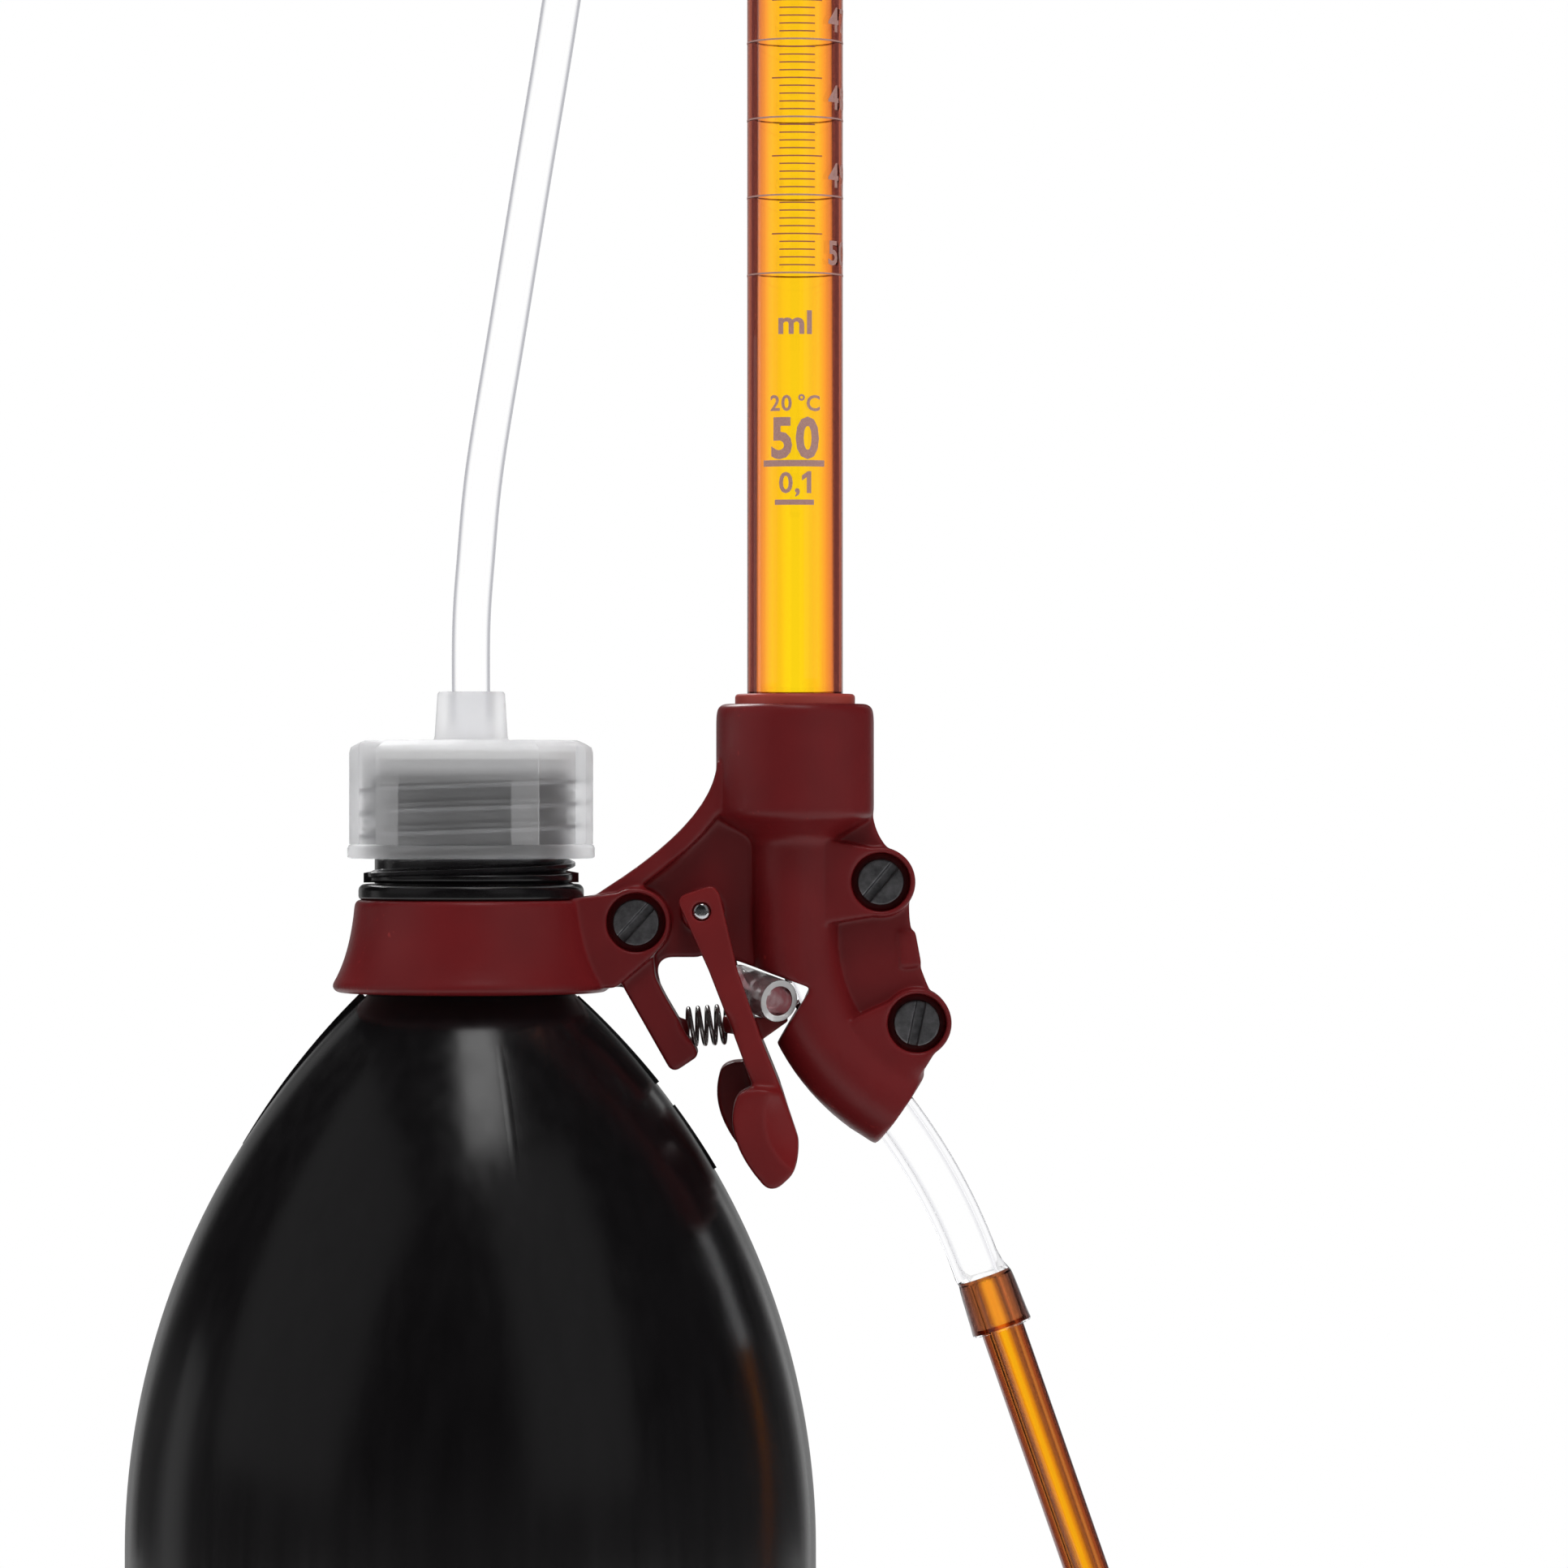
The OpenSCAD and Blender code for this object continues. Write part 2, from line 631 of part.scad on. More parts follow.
module holder_solid() {
    difference() {
        union() {
            rotate_extrude()
                collar_half();
            plate(clamp_half)
                clamp_face();
            plate(web_half)
                web_face();
            plate(rim_half)
                rim_face();
            plate(lug_half)
                lug_face();
            plate(ear_half)
                ear_face();
            plate(web_half + 0.4)
                step_face();
            across(pin_at, pin_d / 2 + 1.6, -pivot_half, pivot_half);
            translate([tube_x, 0, 0])
                rotate_extrude()
                    socket_half();
            hoop(bend_mid, bend_r, channel_d / 2 - seam_in, 0, bend_end);
            translate([bend_stop[0], 0, bend_stop[1]])
                rotate([0, 180 - bend_end, 0])
                    translate([0, 0, -seam_l])
                        cylinder(d = channel_d, h = mouth_l + seam_l);
        }
        translate([0, 0, -1])
            cylinder(r = neck_r + collar_play, h = collar_h + 8);
        translate([tube_x, 0, 0])
            rotate_extrude()
                polygon([
                    [0, turn_h - seam_l], [way_r + seam_in, turn_h - seam_l], [way_r + seam_in, cone_foot],
                    [tube_r + 0.3, socket_foot + 1.2],
                    [tube_r + 0.3, bush_foot], [bush_r + bush_play, bush_foot],
                    [bush_r + bush_play, socket_top + 1], [0, socket_top + 1]
                ]);
        hose_way();
        plate(2 * clamp_half)
            polygon([notch_top, notch_tip, notch_foot, [notch_top[0], notch_foot[1]]]);
        across(pin_at, pin_d / 2 + 0.02, -2 * clamp_half, 2 * clamp_half);
        spring_axis()
            cylinder(r = spring_d / 2 + 0.4, h = spring_l);
        for (s = screw_at) {
            across(s, screw_d / 2 + screw_play, -2 * s[2], 2 * s[2]);
            across(s, recess_d / 2, -2 * s[2], -s[2] + head_drop + head_h);
            across(s, (nut_w / 2 + screw_play) / cos(30), s[2] - head_drop - nut_h, 2 * s[2], 6);
        }
    }
    spring_axis()
        translate([0, 0, -2])
            cylinder(r = peg_r, h = peg_l + 2);
}

// One half of the holder, in front of the parting plane or behind it
module holder_part(back) {
    color("#8e2a2e")
        translate([0, 0, neck_z])
            intersection() {
                holder_solid();
                translate([-cut_l / 2, back ? 0 : -cut_l, -cut_l / 2])
                    cube(cut_l);
            }
}

module front_holder() {
    holder_part(false);
}

module rear_holder() {
    holder_part(true);
}

module holder_screws() {
    color("#3a3839")
        for (s = screw_at)
            translate([s[0], 0, neck_z + s[1]])
                difference() {
                    union() {
                        across([0, 0], head_d / 2, -s[2] + head_drop, -s[2] + head_drop + head_h);
                        across([0, 0], screw_d / 2, -s[2] + head_drop + head_h - 0.5, s[2] - head_drop);
                    }
                    rotate([0, 90 - s[3], 0])
                        translate([-slot_w / 2, -s[2] + head_drop - 1, -head_d])
                            cube([slot_w, slot_h + 1, 2 * head_d]);
                }
}

module holder_nuts() {
    color("#55555a")
        for (s = screw_at)
            translate([s[0], 0, neck_z + s[1]])
                difference() {
                    across([0, 0], nut_w / 2 / cos(30), s[2] - head_drop - nut_h, s[2] - head_drop, 6);
                    across([0, 0], screw_d / 2 + 0.05, -20, 20);
                }
}

module tube_bush() {
    color("#9b3034")
        translate([tube_x, 0, neck_z])
            band(bush_bore_r, bush_r, bush_foot, socket_top + bush_out);
}

module burette_tube() {
    n = 10;
    taper = taper_top - taper_foot;
    color("#d08a2e")
        translate([tube_x, 0, neck_z])
            rotate_extrude()
                polygon(concat(
                    [[tube_r, tube_top]],
                    [for (i = [0:n]) [ease(tube_r, stem_d / 2, i / n), taper_top - taper * i / n]],
                    [[stem_d / 2, stem_foot], [stem_bore / 2, stem_foot]],
                    [for (i = [n:-1:0]) [ease(tube_in_r, stem_bore / 2, i / n), taper_top + tube_wall - taper * i / n]],
                    [[tube_in_r, tube_top]]
                ));
}

module filling_head() {
    color("#8e2a2e")
        translate([0, 0, neck_z])
            difference() {
                union() {
                    translate([tube_x, 0, 0])
                        rotate_extrude()
                            polygon(soft([[0, filler_z, 0], [filler_d / 2 + 0.5, filler_z, 0.6],
                                [filler_d / 2, tube_top + filler_over, 1.6], [0, tube_top + filler_over, 0]]));
                    translate([riser_x, 0, arm_z])
                        rotate([0, 90, 0])
                            cylinder(d = arm_d, h = riser_off);
                    translate([riser_x, 0, arm_z])
                        sphere(d = arm_d);
                    translate([riser_x, 0, riser_top])
                        cylinder(d = arm_d, h = arm_d / 2);
                    translate([riser_x, 0, riser_top - nipple_h])
                        cylinder(d = riser_bore - 0.25, h = nipple_h + 1);
                }
                translate([tube_x, 0, filler_z - 1])
                    cylinder(r = filler_bore_r, h = seal_w + 3.1);
                translate([tube_x, 0, filler_z - 1])
                    cylinder(r = tube_r + 0.1, h = filler_in + 1);
                translate([tube_x, 0, tube_top - 0.5])
                    cylinder(d = zero_d + 0.1, h = filler_over / 2 + 1.7);
                translate([riser_x, 0, arm_z])
                    rotate([0, 90, 0])
                        cylinder(d = zero_bore, h = riser_off);
                translate([riser_x, 0, riser_top - nipple_h - 1])
                    cylinder(d = zero_bore, h = nipple_h + 1 + arm_d / 2);
                translate([tube_x + tube_in_r - 1.1, 0, tube_top - 1])
                    cylinder(d = zero_bore, h = filler_over + 2);
            }
}

module zero_capillary() {
    color("#d08a2e")
        translate([tube_x, 0, neck_z])
            difference() {
                translate([0, 0, zero_h])
                    cylinder(d = zero_d, h = tube_over + filler_over / 2 + 1);
                translate([0, 0, zero_h - 1])
                    cylinder(d = zero_bore, h = tube_over + filler_over + 2);
                translate([-zero_d, 0, arm_z])
                    rotate([0, 90, 0])
                        cylinder(d = zero_bore, h = zero_d);
            }
}

module head_seal() {
    color("#2a2a2c")
        translate([tube_x, 0, neck_z + filler_z + 1 + seal_w / 2])
            rotate_extrude()
                translate([seal_r, 0])
                    circle(d = seal_w);
}

// Lever outline, from its top end to the place where the lobes begin
module lever_face() {
    polygon(soft([
        [each pin_at + [-3.5, 1.9], 1.1], [each pin_at + [1.5, 3.6], 1.2], [each pin_at + [2.4, 2.4], 1],
        [each pin_at + [4.8, -7.8], 4], [each pin_at + [8.2, -17.6], 4], [each pin_at + [10.9, -24.2], 0],
        [each pin_at + [7.1, -24.2], 0], [each pin_at + [4.7, -17.6], 4], [each pin_at + [0.9, -7.8], 4]
    ]));
}

module bridge_face() {
    polygon(soft([
        [each pin_at + [3.45, -14.1], 0.3], [each pin_at + [4.8, -17.6], 4], [each pin_at + [7.2, -24.3], 0],
        [each pin_at + [10.8, -24.3], 0], [each pin_at + [8.1, -17.6], 4], [each pin_at + [6.9, -14.1], 0.3]
    ]));
}

// Wedge that closes the hose
module nose_face() {
    polygon(soft([
        [each pin_at + [6, -14.5], 0], [each pin_at + [11.4, -14.45], 0.4], [each pin_at + [11.8, -14.9], 0.3],
        [each pin_at + [8.3, -17.4], 0], [each pin_at + [6, -17], 0]
    ]));
}

module lobe_face() {
    polygon(concat(
        bow(pin_at + [4.5, -25.3], pin_at + [2.9, -30.6], pin_at + [8.2, -36.6], 8),
        bow(pin_at + [8.2, -36.6], pin_at + [9.2, -37.8], pin_at + [10.6, -36.9], 4),
        bow(pin_at + [12, -35.6], pin_at + [13.2, -34.2], pin_at + [13.1, -30.7], 4),
        bow(pin_at + [10.9, -24.1], pin_at + [5.1, -22.9], pin_at + [4.5, -25.3], 6)
    ));
}

// Web between the two lobes, set back from the finger's side
module waist_face() {
    polygon([
        pin_at + [7, -24], pin_at + [10.8, -24], pin_at + [12.8, -30.6], pin_at + [11.6, -34.6],
        pin_at + [9.1, -35], pin_at + [6.9, -30]
    ]);
}

rear_lobe = [-2.2, 3.1];

// Finger lobe on one side, hollowed towards the lever's free edge
module lobe(side) {
    shift = side > 0 ? rear_lobe : [0, 0];
    dish_at = pin_at + shift + [16.8, -27.7];
    difference() {
        translate([0, side * (lobe_side - lobe_w / 2), 0])
            plate(lobe_w / 2)
                translate(shift)
                    lobe_face();
        translate([dish_at[0], side * (lobe_side + dish_off), dish_at[1]])
            sphere(r = dish_r);
    }
}

module pinch_lever() {
    color("#982d30")
        translate([0, 0, neck_z]) {
            spring_axis()
                translate([0, 0, spring_l - peg_l])
                    cylinder(r = peg_r, h = peg_l + 1);
            difference() {
                union() {
                    for (side = [-1, 1])
                        translate([0, side * (arm_in + arm_t / 2), 0])
                            plate(arm_t / 2)
                                lever_face();
                    plate(arm_out - arm_t / 4)
                        bridge_face();
                    plate(nose_half)
                        nose_face();
                    plate(lobe_side - lobe_w / 2)
                        waist_face();
                    for (side = [-1, 1])
                        lobe(side);
                }
                across(pin_at, pin_d / 2 + pin_play, -2 * arm_out, 2 * arm_out);
                spring_axis()
                    cylinder(r = spring_d / 2 + 0.4, h = spring_l);
            }
        }
}

module lever_pin() {
    color("#b9bbc0")
        translate([0, 0, neck_z])
            across(pin_at, pin_d / 2, -arm_out, arm_out);
}

// Wire of the spring: rings of six points along an even coil
wire_sides = 6;
wire_steps = 8;
coil_r = (spring_d - wire_d) / 2;
coil_rise = spring_l - wire_d - 2 * spring_end;
wire_n = ceil(curls * wire_steps);
function coil_at(t) =
    [coil_r * cos(360 * t * curls), coil_r * sin(360 * t * curls), wire_d / 2 + spring_end + coil_rise * t];
wire_line = [for (i = [0:wire_n]) coil_at(i / wire_n)];
function wire_ring(i) =
    let (a = 360 * curls * i / wire_n, p = wire_line[i])
    [for (k = [0:wire_sides - 1])
        let (b = 360 * k / wire_sides, u = wire_d / 2 * cos(b), w = wire_d / 2 * sin(b))
        [p[0] + u * cos(a), p[1] + u * sin(a), p[2] + w]];
// Least gap between parts of the wire that are not neighbours on the same curl
wire_gap = min([for (i = [0:wire_n]) for (j = [i + wire_steps / 2:1:wire_n])
    norm(wire_line[i] - wire_line[j])]) - wire_d;
echo("spring, least gap between curls", wire_gap);

module lever_spring() {
    n = wire_sides;
    rings = [for (i = [0:wire_n]) each wire_ring(i)];
    sides = [for (i = [0:wire_n - 1]) for (k = [0:n - 1])
        let (a = i * n + k, b = i * n + (k + 1) % n)
        each [[a, a + n, b], [b, a + n, b + n]]];
    e = wire_n * n;
    ends = [for (k = [1:n - 2]) each [[0, k, k + 1], [e, e + k + 1, e + k]]];
    color("#4a4745")
        translate([0, 0, neck_z])
            spring_axis()
                polyhedron(rings, concat(sides, ends));
}

module spacer_sleeve() {
    d = spacer_dir / norm(spacer_dir);
    a = -spacer_front / spacer_dir[1];
    color("#e4e4e8")
        translate([spacer_at[0] + a * spacer_dir[0], a * spacer_dir[1], neck_z + spacer_at[1] + a * spacer_dir[2]])
            rotate([0, acos(d[2]), atan2(d[1], d[0])])
                difference() {
                    cylinder(d = spacer_d, h = spacer_l);
                    translate([0, 0, -1])
                        cylinder(d = spacer_bore, h = spacer_l + 2);
                }
}

module tip_axis() {
    translate([tip_start[0], 0, tip_start[1]])
        rotate([0, 180 - tip_lean, 0])
            children();
}

// The outlet hose hangs from the stem, follows the channel and ends stretched over the tip
turn_steps = 8;
back_steps = 6;
tip_dir = [sin(tip_lean), -cos(tip_lean)];
function hose_rows(r) = concat(
    [[tube_x, hose_top, 180, r]],
    [for (i = [0:turn_steps])
        let (a = turn_a * i / turn_steps)
        [tube_x + turn_r * (1 - cos(a)), turn_h - turn_r * sin(a), 180 - a, r]],
    [for (i = [0:back_steps])
        let (a = turn_a + (tip_lean - turn_a) * i / back_steps, p = back_mid + back_r * [cos(a), sin(a)])
        [p[0], p[1], 180 - a, r]]
);
function grip_row(l, r) = [each tip_start + l * tip_dir, 180 - tip_lean, r];

module outlet_hose() {
    color("#e9e9ee")
        translate([0, 0, neck_z])
            hose(
                concat(hose_rows(hose_r), [grip_row(1.5, grip_d / 2 - 0.4), grip_row(grip_l, grip_d / 2)]),
                concat(hose_rows(hose_bore / 2), [grip_row(1.5, hose_bore / 2),
                    grip_row(1.5, tip_d / 2 + 0.15), grip_row(grip_l, tip_d / 2 + 0.15)])
            );
}

module jet_tip() {
    n = 8;
    jet = tip_l - jet_l;
    color("#d08a2e")
        translate([0, 0, neck_z])
            tip_axis()
                translate([0, 0, 1.5])
                    rotate_extrude()
                        polygon(concat(
                            [[tip_bore / 2, 0], [tip_d / 2, 0]],
                            [for (i = [0:n]) [ease(tip_d / 2, jet_d / 2, i / n), jet + jet_l * i / n]],
                            [for (i = [n:-1:0]) [ease(tip_bore / 2, 0.4, i / n), jet + jet_l * i / n]]
                        ));
}

bottle();
screw_cap();
cap_liner();
dip_tube();
riser_hose();
front_holder();
rear_holder();
holder_screws();
holder_nuts();
tube_bush();
burette_tube();
filling_head();
zero_capillary();
head_seal();
pinch_lever();
lever_pin();
lever_spring();
spacer_sleeve();
outlet_hose();
jet_tip();
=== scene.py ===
import math

import bmesh
import bpy
import numpy as np
from mathutils import Matrix, Vector


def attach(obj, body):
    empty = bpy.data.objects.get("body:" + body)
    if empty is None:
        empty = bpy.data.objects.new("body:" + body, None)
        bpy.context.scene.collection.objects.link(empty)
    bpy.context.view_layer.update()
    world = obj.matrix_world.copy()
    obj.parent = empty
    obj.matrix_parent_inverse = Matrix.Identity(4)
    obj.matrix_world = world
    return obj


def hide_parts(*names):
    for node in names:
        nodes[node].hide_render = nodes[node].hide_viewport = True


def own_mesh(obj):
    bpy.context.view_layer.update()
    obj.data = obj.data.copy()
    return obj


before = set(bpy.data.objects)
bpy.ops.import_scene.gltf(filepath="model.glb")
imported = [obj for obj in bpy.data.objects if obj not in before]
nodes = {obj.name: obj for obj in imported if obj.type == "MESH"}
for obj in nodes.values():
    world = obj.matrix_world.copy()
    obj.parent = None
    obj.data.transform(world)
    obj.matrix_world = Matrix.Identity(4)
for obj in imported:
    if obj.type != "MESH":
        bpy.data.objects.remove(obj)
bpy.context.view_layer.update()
scene = bpy.context.scene
scene.view_settings.view_transform = "Standard"

MM = 0.001

# sizes shared with the part's source, in millimetres
BOTTLE_R = 46.85
WALL_H = 114.0
BOTTLE_WALL = 1.3
SHOULDER_R = 102.6
FOOT_R = 6.0
FOOT_W = 4.5
PUNT_H = 3.0
NECK_R = 13.8
BEAD_R = 15.3
BEAD_H = 2.1
FINISH_R = 13.1
FINISH_H = 16.9
MOUTH_R = 11.2
COLLAR_H = 12.6
NECK_Z = WALL_H + math.sqrt(SHOULDER_R ** 2 - (SHOULDER_R - BOTTLE_R + NECK_R) ** 2)
BEAD_Z = NECK_Z + COLLAR_H
FINISH_Z = BEAD_Z + BEAD_H
NECK_TOP = FINISH_Z + FINISH_H
CAP_R = 15.3
CAP_H = 16.0
CAP_TOP_T = 1.5
CAP_WALL = 0.85
LINER_T = 1.1
CAP_TOP_Z = NECK_TOP + LINER_T + CAP_TOP_T
CAP_Z = CAP_TOP_Z - CAP_H
CAP_CEILING_Z = CAP_TOP_Z - CAP_TOP_T
CAP_BORE_R = CAP_R - CAP_WALL
CAP_RISE = 4.6
CAP_TURNS = 1.5
LEAD = CAP_RISE / CAP_TURNS
PADS = 3
PAD_OUT = 1.25
PAD_ANGLE = 88.0
PAD_TURN = -96.0
FLANGE_R = CAP_R + 1.5
FLANGE_H = 1.9
FLANGE_Z = CAP_Z + FLANGE_H
BOSS_R = 5.0
BOSS_TOP_R = 4.55
BOSS_H = 6.6
BOSS_Z = CAP_TOP_Z + BOSS_H
RISER_R = 2.6
RISER_BORE_R = 1.6
RISER_IN = 4.2
RISER_Z = BOSS_Z - RISER_IN
TUBE_X = 44.0
TUBE_R = 6.5
TUBE_IN_R = 5.5
SCALE_ML = 50
ML_H = 1000 / (math.pi * TUBE_IN_R ** 2)
SCALE_FOOT_Z = NECK_Z + 97.8
TUBE_OVER = 45
TUBE_TOP_Z = SCALE_FOOT_Z + SCALE_ML * ML_H + TUBE_OVER
HEAD_OVER = 8.0
HEAD_ARM_R = 4.2
RISER_X = TUBE_X - 13.0
RISER_TOP = TUBE_TOP_Z + HEAD_OVER / 2 - HEAD_ARM_R
PIN_X = TUBE_X - 12.6
PIN_Z = NECK_Z + 11.1
HOSE_R = 2.8
HOSE_BORE_R = 1.8
TIP_LEAN = 19.2
TIP_R = 2.95
TIP_BORE_R = 1.75

# camera, level with the holder's socket
VIEW_ANGLE = 13.5
SENSOR = 36
EYE = (42.5, -900.0, 217.7)
camera = bpy.data.cameras.new("camera")
camera.sensor_width = SENSOR
camera.lens = SENSOR / 2 / math.tan(math.radians(VIEW_ANGLE / 2))
camera.clip_start = 0.05
camera.clip_end = 20
eye = bpy.data.objects.new("camera", camera)
eye.location = [c * MM for c in EYE]
eye.rotation_euler = (math.radians(90), 0, 0)
scene.collection.objects.link(eye)
scene.camera = eye


# node helpers
def material(name):
    m = bpy.data.materials.new(name)
    m.use_nodes = True
    t = m.node_tree
    return m, t, t.nodes["Principled BSDF"]


def link(t, a, b):
    t.links.new(a, b)


def noise(t, scale, detail=3.0, rough=0.55, stretch=None):
    """Noise in the piece's own coordinates, which stretch scales along each axis."""
    at = t.nodes.new("ShaderNodeTexCoord").outputs["Object"]
    if stretch:
        scaled = t.nodes.new("ShaderNodeMapping")
        scaled.inputs["Scale"].default_value = stretch
        link(t, at, scaled.inputs["Vector"])
        at = scaled.outputs["Vector"]
    n = t.nodes.new("ShaderNodeTexNoise")
    n.inputs["Scale"].default_value = scale
    n.inputs["Detail"].default_value = detail
    n.inputs["Roughness"].default_value = rough
    link(t, at, n.inputs["Vector"])
    return n.outputs["Fac"]


def ramp(t, fac, stops):
    """Colours or grey levels, each at its position."""
    r = t.nodes.new("ShaderNodeValToRGB")
    steps = r.color_ramp.elements
    while len(steps) < len(stops):
        steps.new(0.5)
    for step, (at, c) in zip(steps, stops):
        step.position = at
        step.color = (*c, 1) if hasattr(c, "__len__") else (c, c, c, 1)
    link(t, fac, r.inputs["Fac"])
    return r.outputs["Color"]


def mixed(t, fac, a, b):
    """The linked colour a, and the fixed colour b where the factor is 1."""
    mix = t.nodes.new("ShaderNodeMix")
    mix.data_type = "RGBA"
    mix.inputs["B"].default_value = (*b, 1)
    link(t, fac, mix.inputs["Factor"])
    link(t, a, mix.inputs["A"])
    return mix.outputs["Result"]


def bump(t, bsdf, height, strength, distance):
    b = t.nodes.new("ShaderNodeBump")
    b.inputs["Strength"].default_value = strength
    b.inputs["Distance"].default_value = distance
    link(t, height, b.inputs["Height"])
    link(t, b.outputs["Normal"], bsdf.inputs["Normal"])


def facing(t, lift=0.0):
    """How edge-on the surface is seen. Lift tips its normal up, so that an upright tube seen from above
    keeps its tint."""
    w = t.nodes.new("ShaderNodeLayerWeight")
    w.inputs["Blend"].default_value = 0.5
    if lift:
        g = t.nodes.new("ShaderNodeNewGeometry")
        up = t.nodes.new("ShaderNodeVectorMath")
        up.operation = "ADD"
        up.inputs[1].default_value = (0.0, 0.0, lift)
        unit = t.nodes.new("ShaderNodeVectorMath")
        unit.operation = "NORMALIZE"
        link(t, g.outputs["Normal"], up.inputs[0])
        link(t, up.outputs["Vector"], unit.inputs[0])
        link(t, unit.outputs["Vector"], w.inputs["Normal"])
    return w.outputs["Facing"]


def see_through(bsdf, share, ior, rough):
    bsdf.inputs["Transmission Weight"].default_value = share
    bsdf.inputs["IOR"].default_value = ior
    bsdf.inputs["Roughness"].default_value = rough


# materials
def moulded(name, dark, light, rough, grain, depth, spec=0.5, edge=None):
    """Moulded plastic: a slow change of tone, fine grain and, where an edge colour is given, a painted edge
    highlight.
    """
    m, t, p = material(name)
    tone = ramp(t, noise(t, 90.0, 2.0), [(0.3, dark), (0.72, light)])
    if edge:
        # painted highlight: the edge colour laid on convex edges, where light would catch them
        pointed = t.nodes.new("ShaderNodeNewGeometry").outputs["Pointiness"]
        tone = mixed(t, ramp(t, pointed, [(0.60, 0), (0.72, 1)]), tone, edge)
    link(t, tone, p.inputs["Base Color"])
    fine = noise(t, grain, 4.0, 0.6)
    link(t, ramp(t, fine, [(0.25, rough - 0.05), (0.75, rough + 0.06)]), p.inputs["Roughness"])
    p.inputs["Specular IOR Level"].default_value = spec
    bump(t, p, fine, 0.25, depth)
    return m


# the edge colours are painted highlights on convex edges
RED = moulded("red_plastic", (0.117, 0.0069, 0.0085), (0.143, 0.0085, 0.0103), 0.36, 1800, 0.00005,
              spec=0.3, edge=(0.24, 0.020, 0.020))
# lever red, lighter than the holder's: painted light that stands for the light on its lobes
RED_LEVER_PAINTED_LIGHT = moulded("red_lever", (0.138, 0.0078, 0.0090), (0.168, 0.0097, 0.0107), 0.36, 1800, 0.00005,
                    spec=0.3, edge=(0.25, 0.022, 0.021))
# bush red, paler and oranger than the holder's: painted light that stands for light coming through the amber
# tube
RED_BUSH_PAINTED_LIGHT = moulded("red_bush", (0.300, 0.0360, 0.0260), (0.360, 0.0450, 0.0330), 0.46, 2400, 0.00004,
                   spec=0.4)
LINER = moulded("liner_foam", (0.46, 0.46, 0.44), (0.55, 0.55, 0.53), 0.8, 1500, 0.0001)
SEAL = moulded("seal_rubber", (0.02, 0.02, 0.021), (0.03, 0.03, 0.031), 0.6, 1500, 0.00005)


def bottle_black():
    """Blown black polyethylene: smooth, with faint upright die lines."""
    m, t, p = material("black_plastic")
    lines = noise(t, 420, 3.0, 0.5, stretch=(1.0, 1.0, 0.03))
    tone = ramp(t, lines, [(0.3, (0.0040, 0.0036, 0.0040)), (0.7, (0.0054, 0.0049, 0.0054))])
    link(t, tone, p.inputs["Base Color"])
    link(t, ramp(t, lines, [(0.3, 0.18), (0.7, 0.24)]), p.inputs["Roughness"])
    bump(t, p, lines, 0.06, 0.00003)
    return m


BLACK = bottle_black()


def steel(name, dark, light, rough, scratch):
    """Metal with a blotchy tone and fine scratches."""
    m, t, p = material(name)
    p.inputs["Metallic"].default_value = 1.0
    link(t, ramp(t, noise(t, 700, 4.0, 0.65), [(0.3, dark), (0.7, light)]), p.inputs["Base Color"])
    fine = noise(t, scratch, 3.0, 0.7)
    link(t, ramp(t, fine, [(0.25, rough - 0.08), (0.75, rough + 0.1)]), p.inputs["Roughness"])
    bump(t, p, fine, 0.3, 0.00003)
    return m


DARK_STEEL = steel("dark_steel", (0.12, 0.12, 0.126), (0.26, 0.258, 0.268), 0.48, 2600)
BRIGHT_STEEL = steel("bright_steel", (0.55, 0.55, 0.57), (0.72, 0.72, 0.74), 0.16, 3000)
SPRING_STEEL = steel("spring_steel", (0.24, 0.235, 0.23), (0.40, 0.39, 0.38), 0.30, 3000)

GLASS_IOR = 1.47
HOSE_IOR = 1.08
CUT_IOR = 1.36
NATURAL_IOR = 1.18
NATURAL_ROUGH = 0.48


def glass(name, stops, ior, rough, lift=0.0):
    """Coloured or clear glass and hose: the tint follows how edge-on the wall is seen where light enters it,
    and the stops are given for a level view. A surface lets the root of its colour through, so the colours
    to be seen are squared."""
    m, t, p = material(name)
    level = 1 / math.sqrt(1 + lift * lift)
    squared = [(1 - level * (1 - at), [k * k for k in c]) for at, c in stops]
    leaving = t.nodes.new("ShaderNodeNewGeometry").outputs["Backfacing"]
    tint = mixed(t, leaving, ramp(t, facing(t, lift), squared), (1, 1, 1))
    link(t, tint, p.inputs["Base Color"])
    see_through(p, 1.0, ior, rough)
    return m


AMBER = glass("amber_glass", [
    (0.00, (1.00, 0.70, 0.006)), (0.040, (1.00, 0.60, 0.009)), (0.134, (1.00, 0.49, 0.014)),
    (0.260, (0.97, 0.33, 0.035)), (0.360, (0.80, 0.22, 0.050)), (0.420, (0.17, 0.036, 0.024)),
    (0.600, (0.15, 0.034, 0.030)), (0.700, (0.38, 0.100, 0.060)), (0.900, (0.38, 0.120, 0.085))],
    GLASS_IOR, 0.0, lift=0.45)
TIP = glass("amber_tip", [
    (0.000, (0.97, 0.46, 0.006)), (0.020, (0.78, 0.27, 0.006)), (0.063, (0.38, 0.104, 0.012)),
    (0.134, (0.115, 0.023, 0.010)), (0.200, (0.55, 0.170, 0.036)), (0.306, (0.30, 0.058, 0.014)),
    (0.473, (0.17, 0.038, 0.017)), (1.000, (0.10, 0.055, 0.053))], GLASS_IOR, 0.0)
CLEAR = glass("clear_hose", [
    (0.00, (1.0, 1.0, 1.0)), (0.32, (1.0, 1.0, 1.0)), (0.42, (0.84, 0.84, 0.86)),
    (0.50, (0.60, 0.60, 0.63)), (0.62, (0.48, 0.48, 0.51)), (0.80, (0.50, 0.50, 0.53)),
    (1.00, (0.66, 0.66, 0.69))], HOSE_IOR, 0.0)
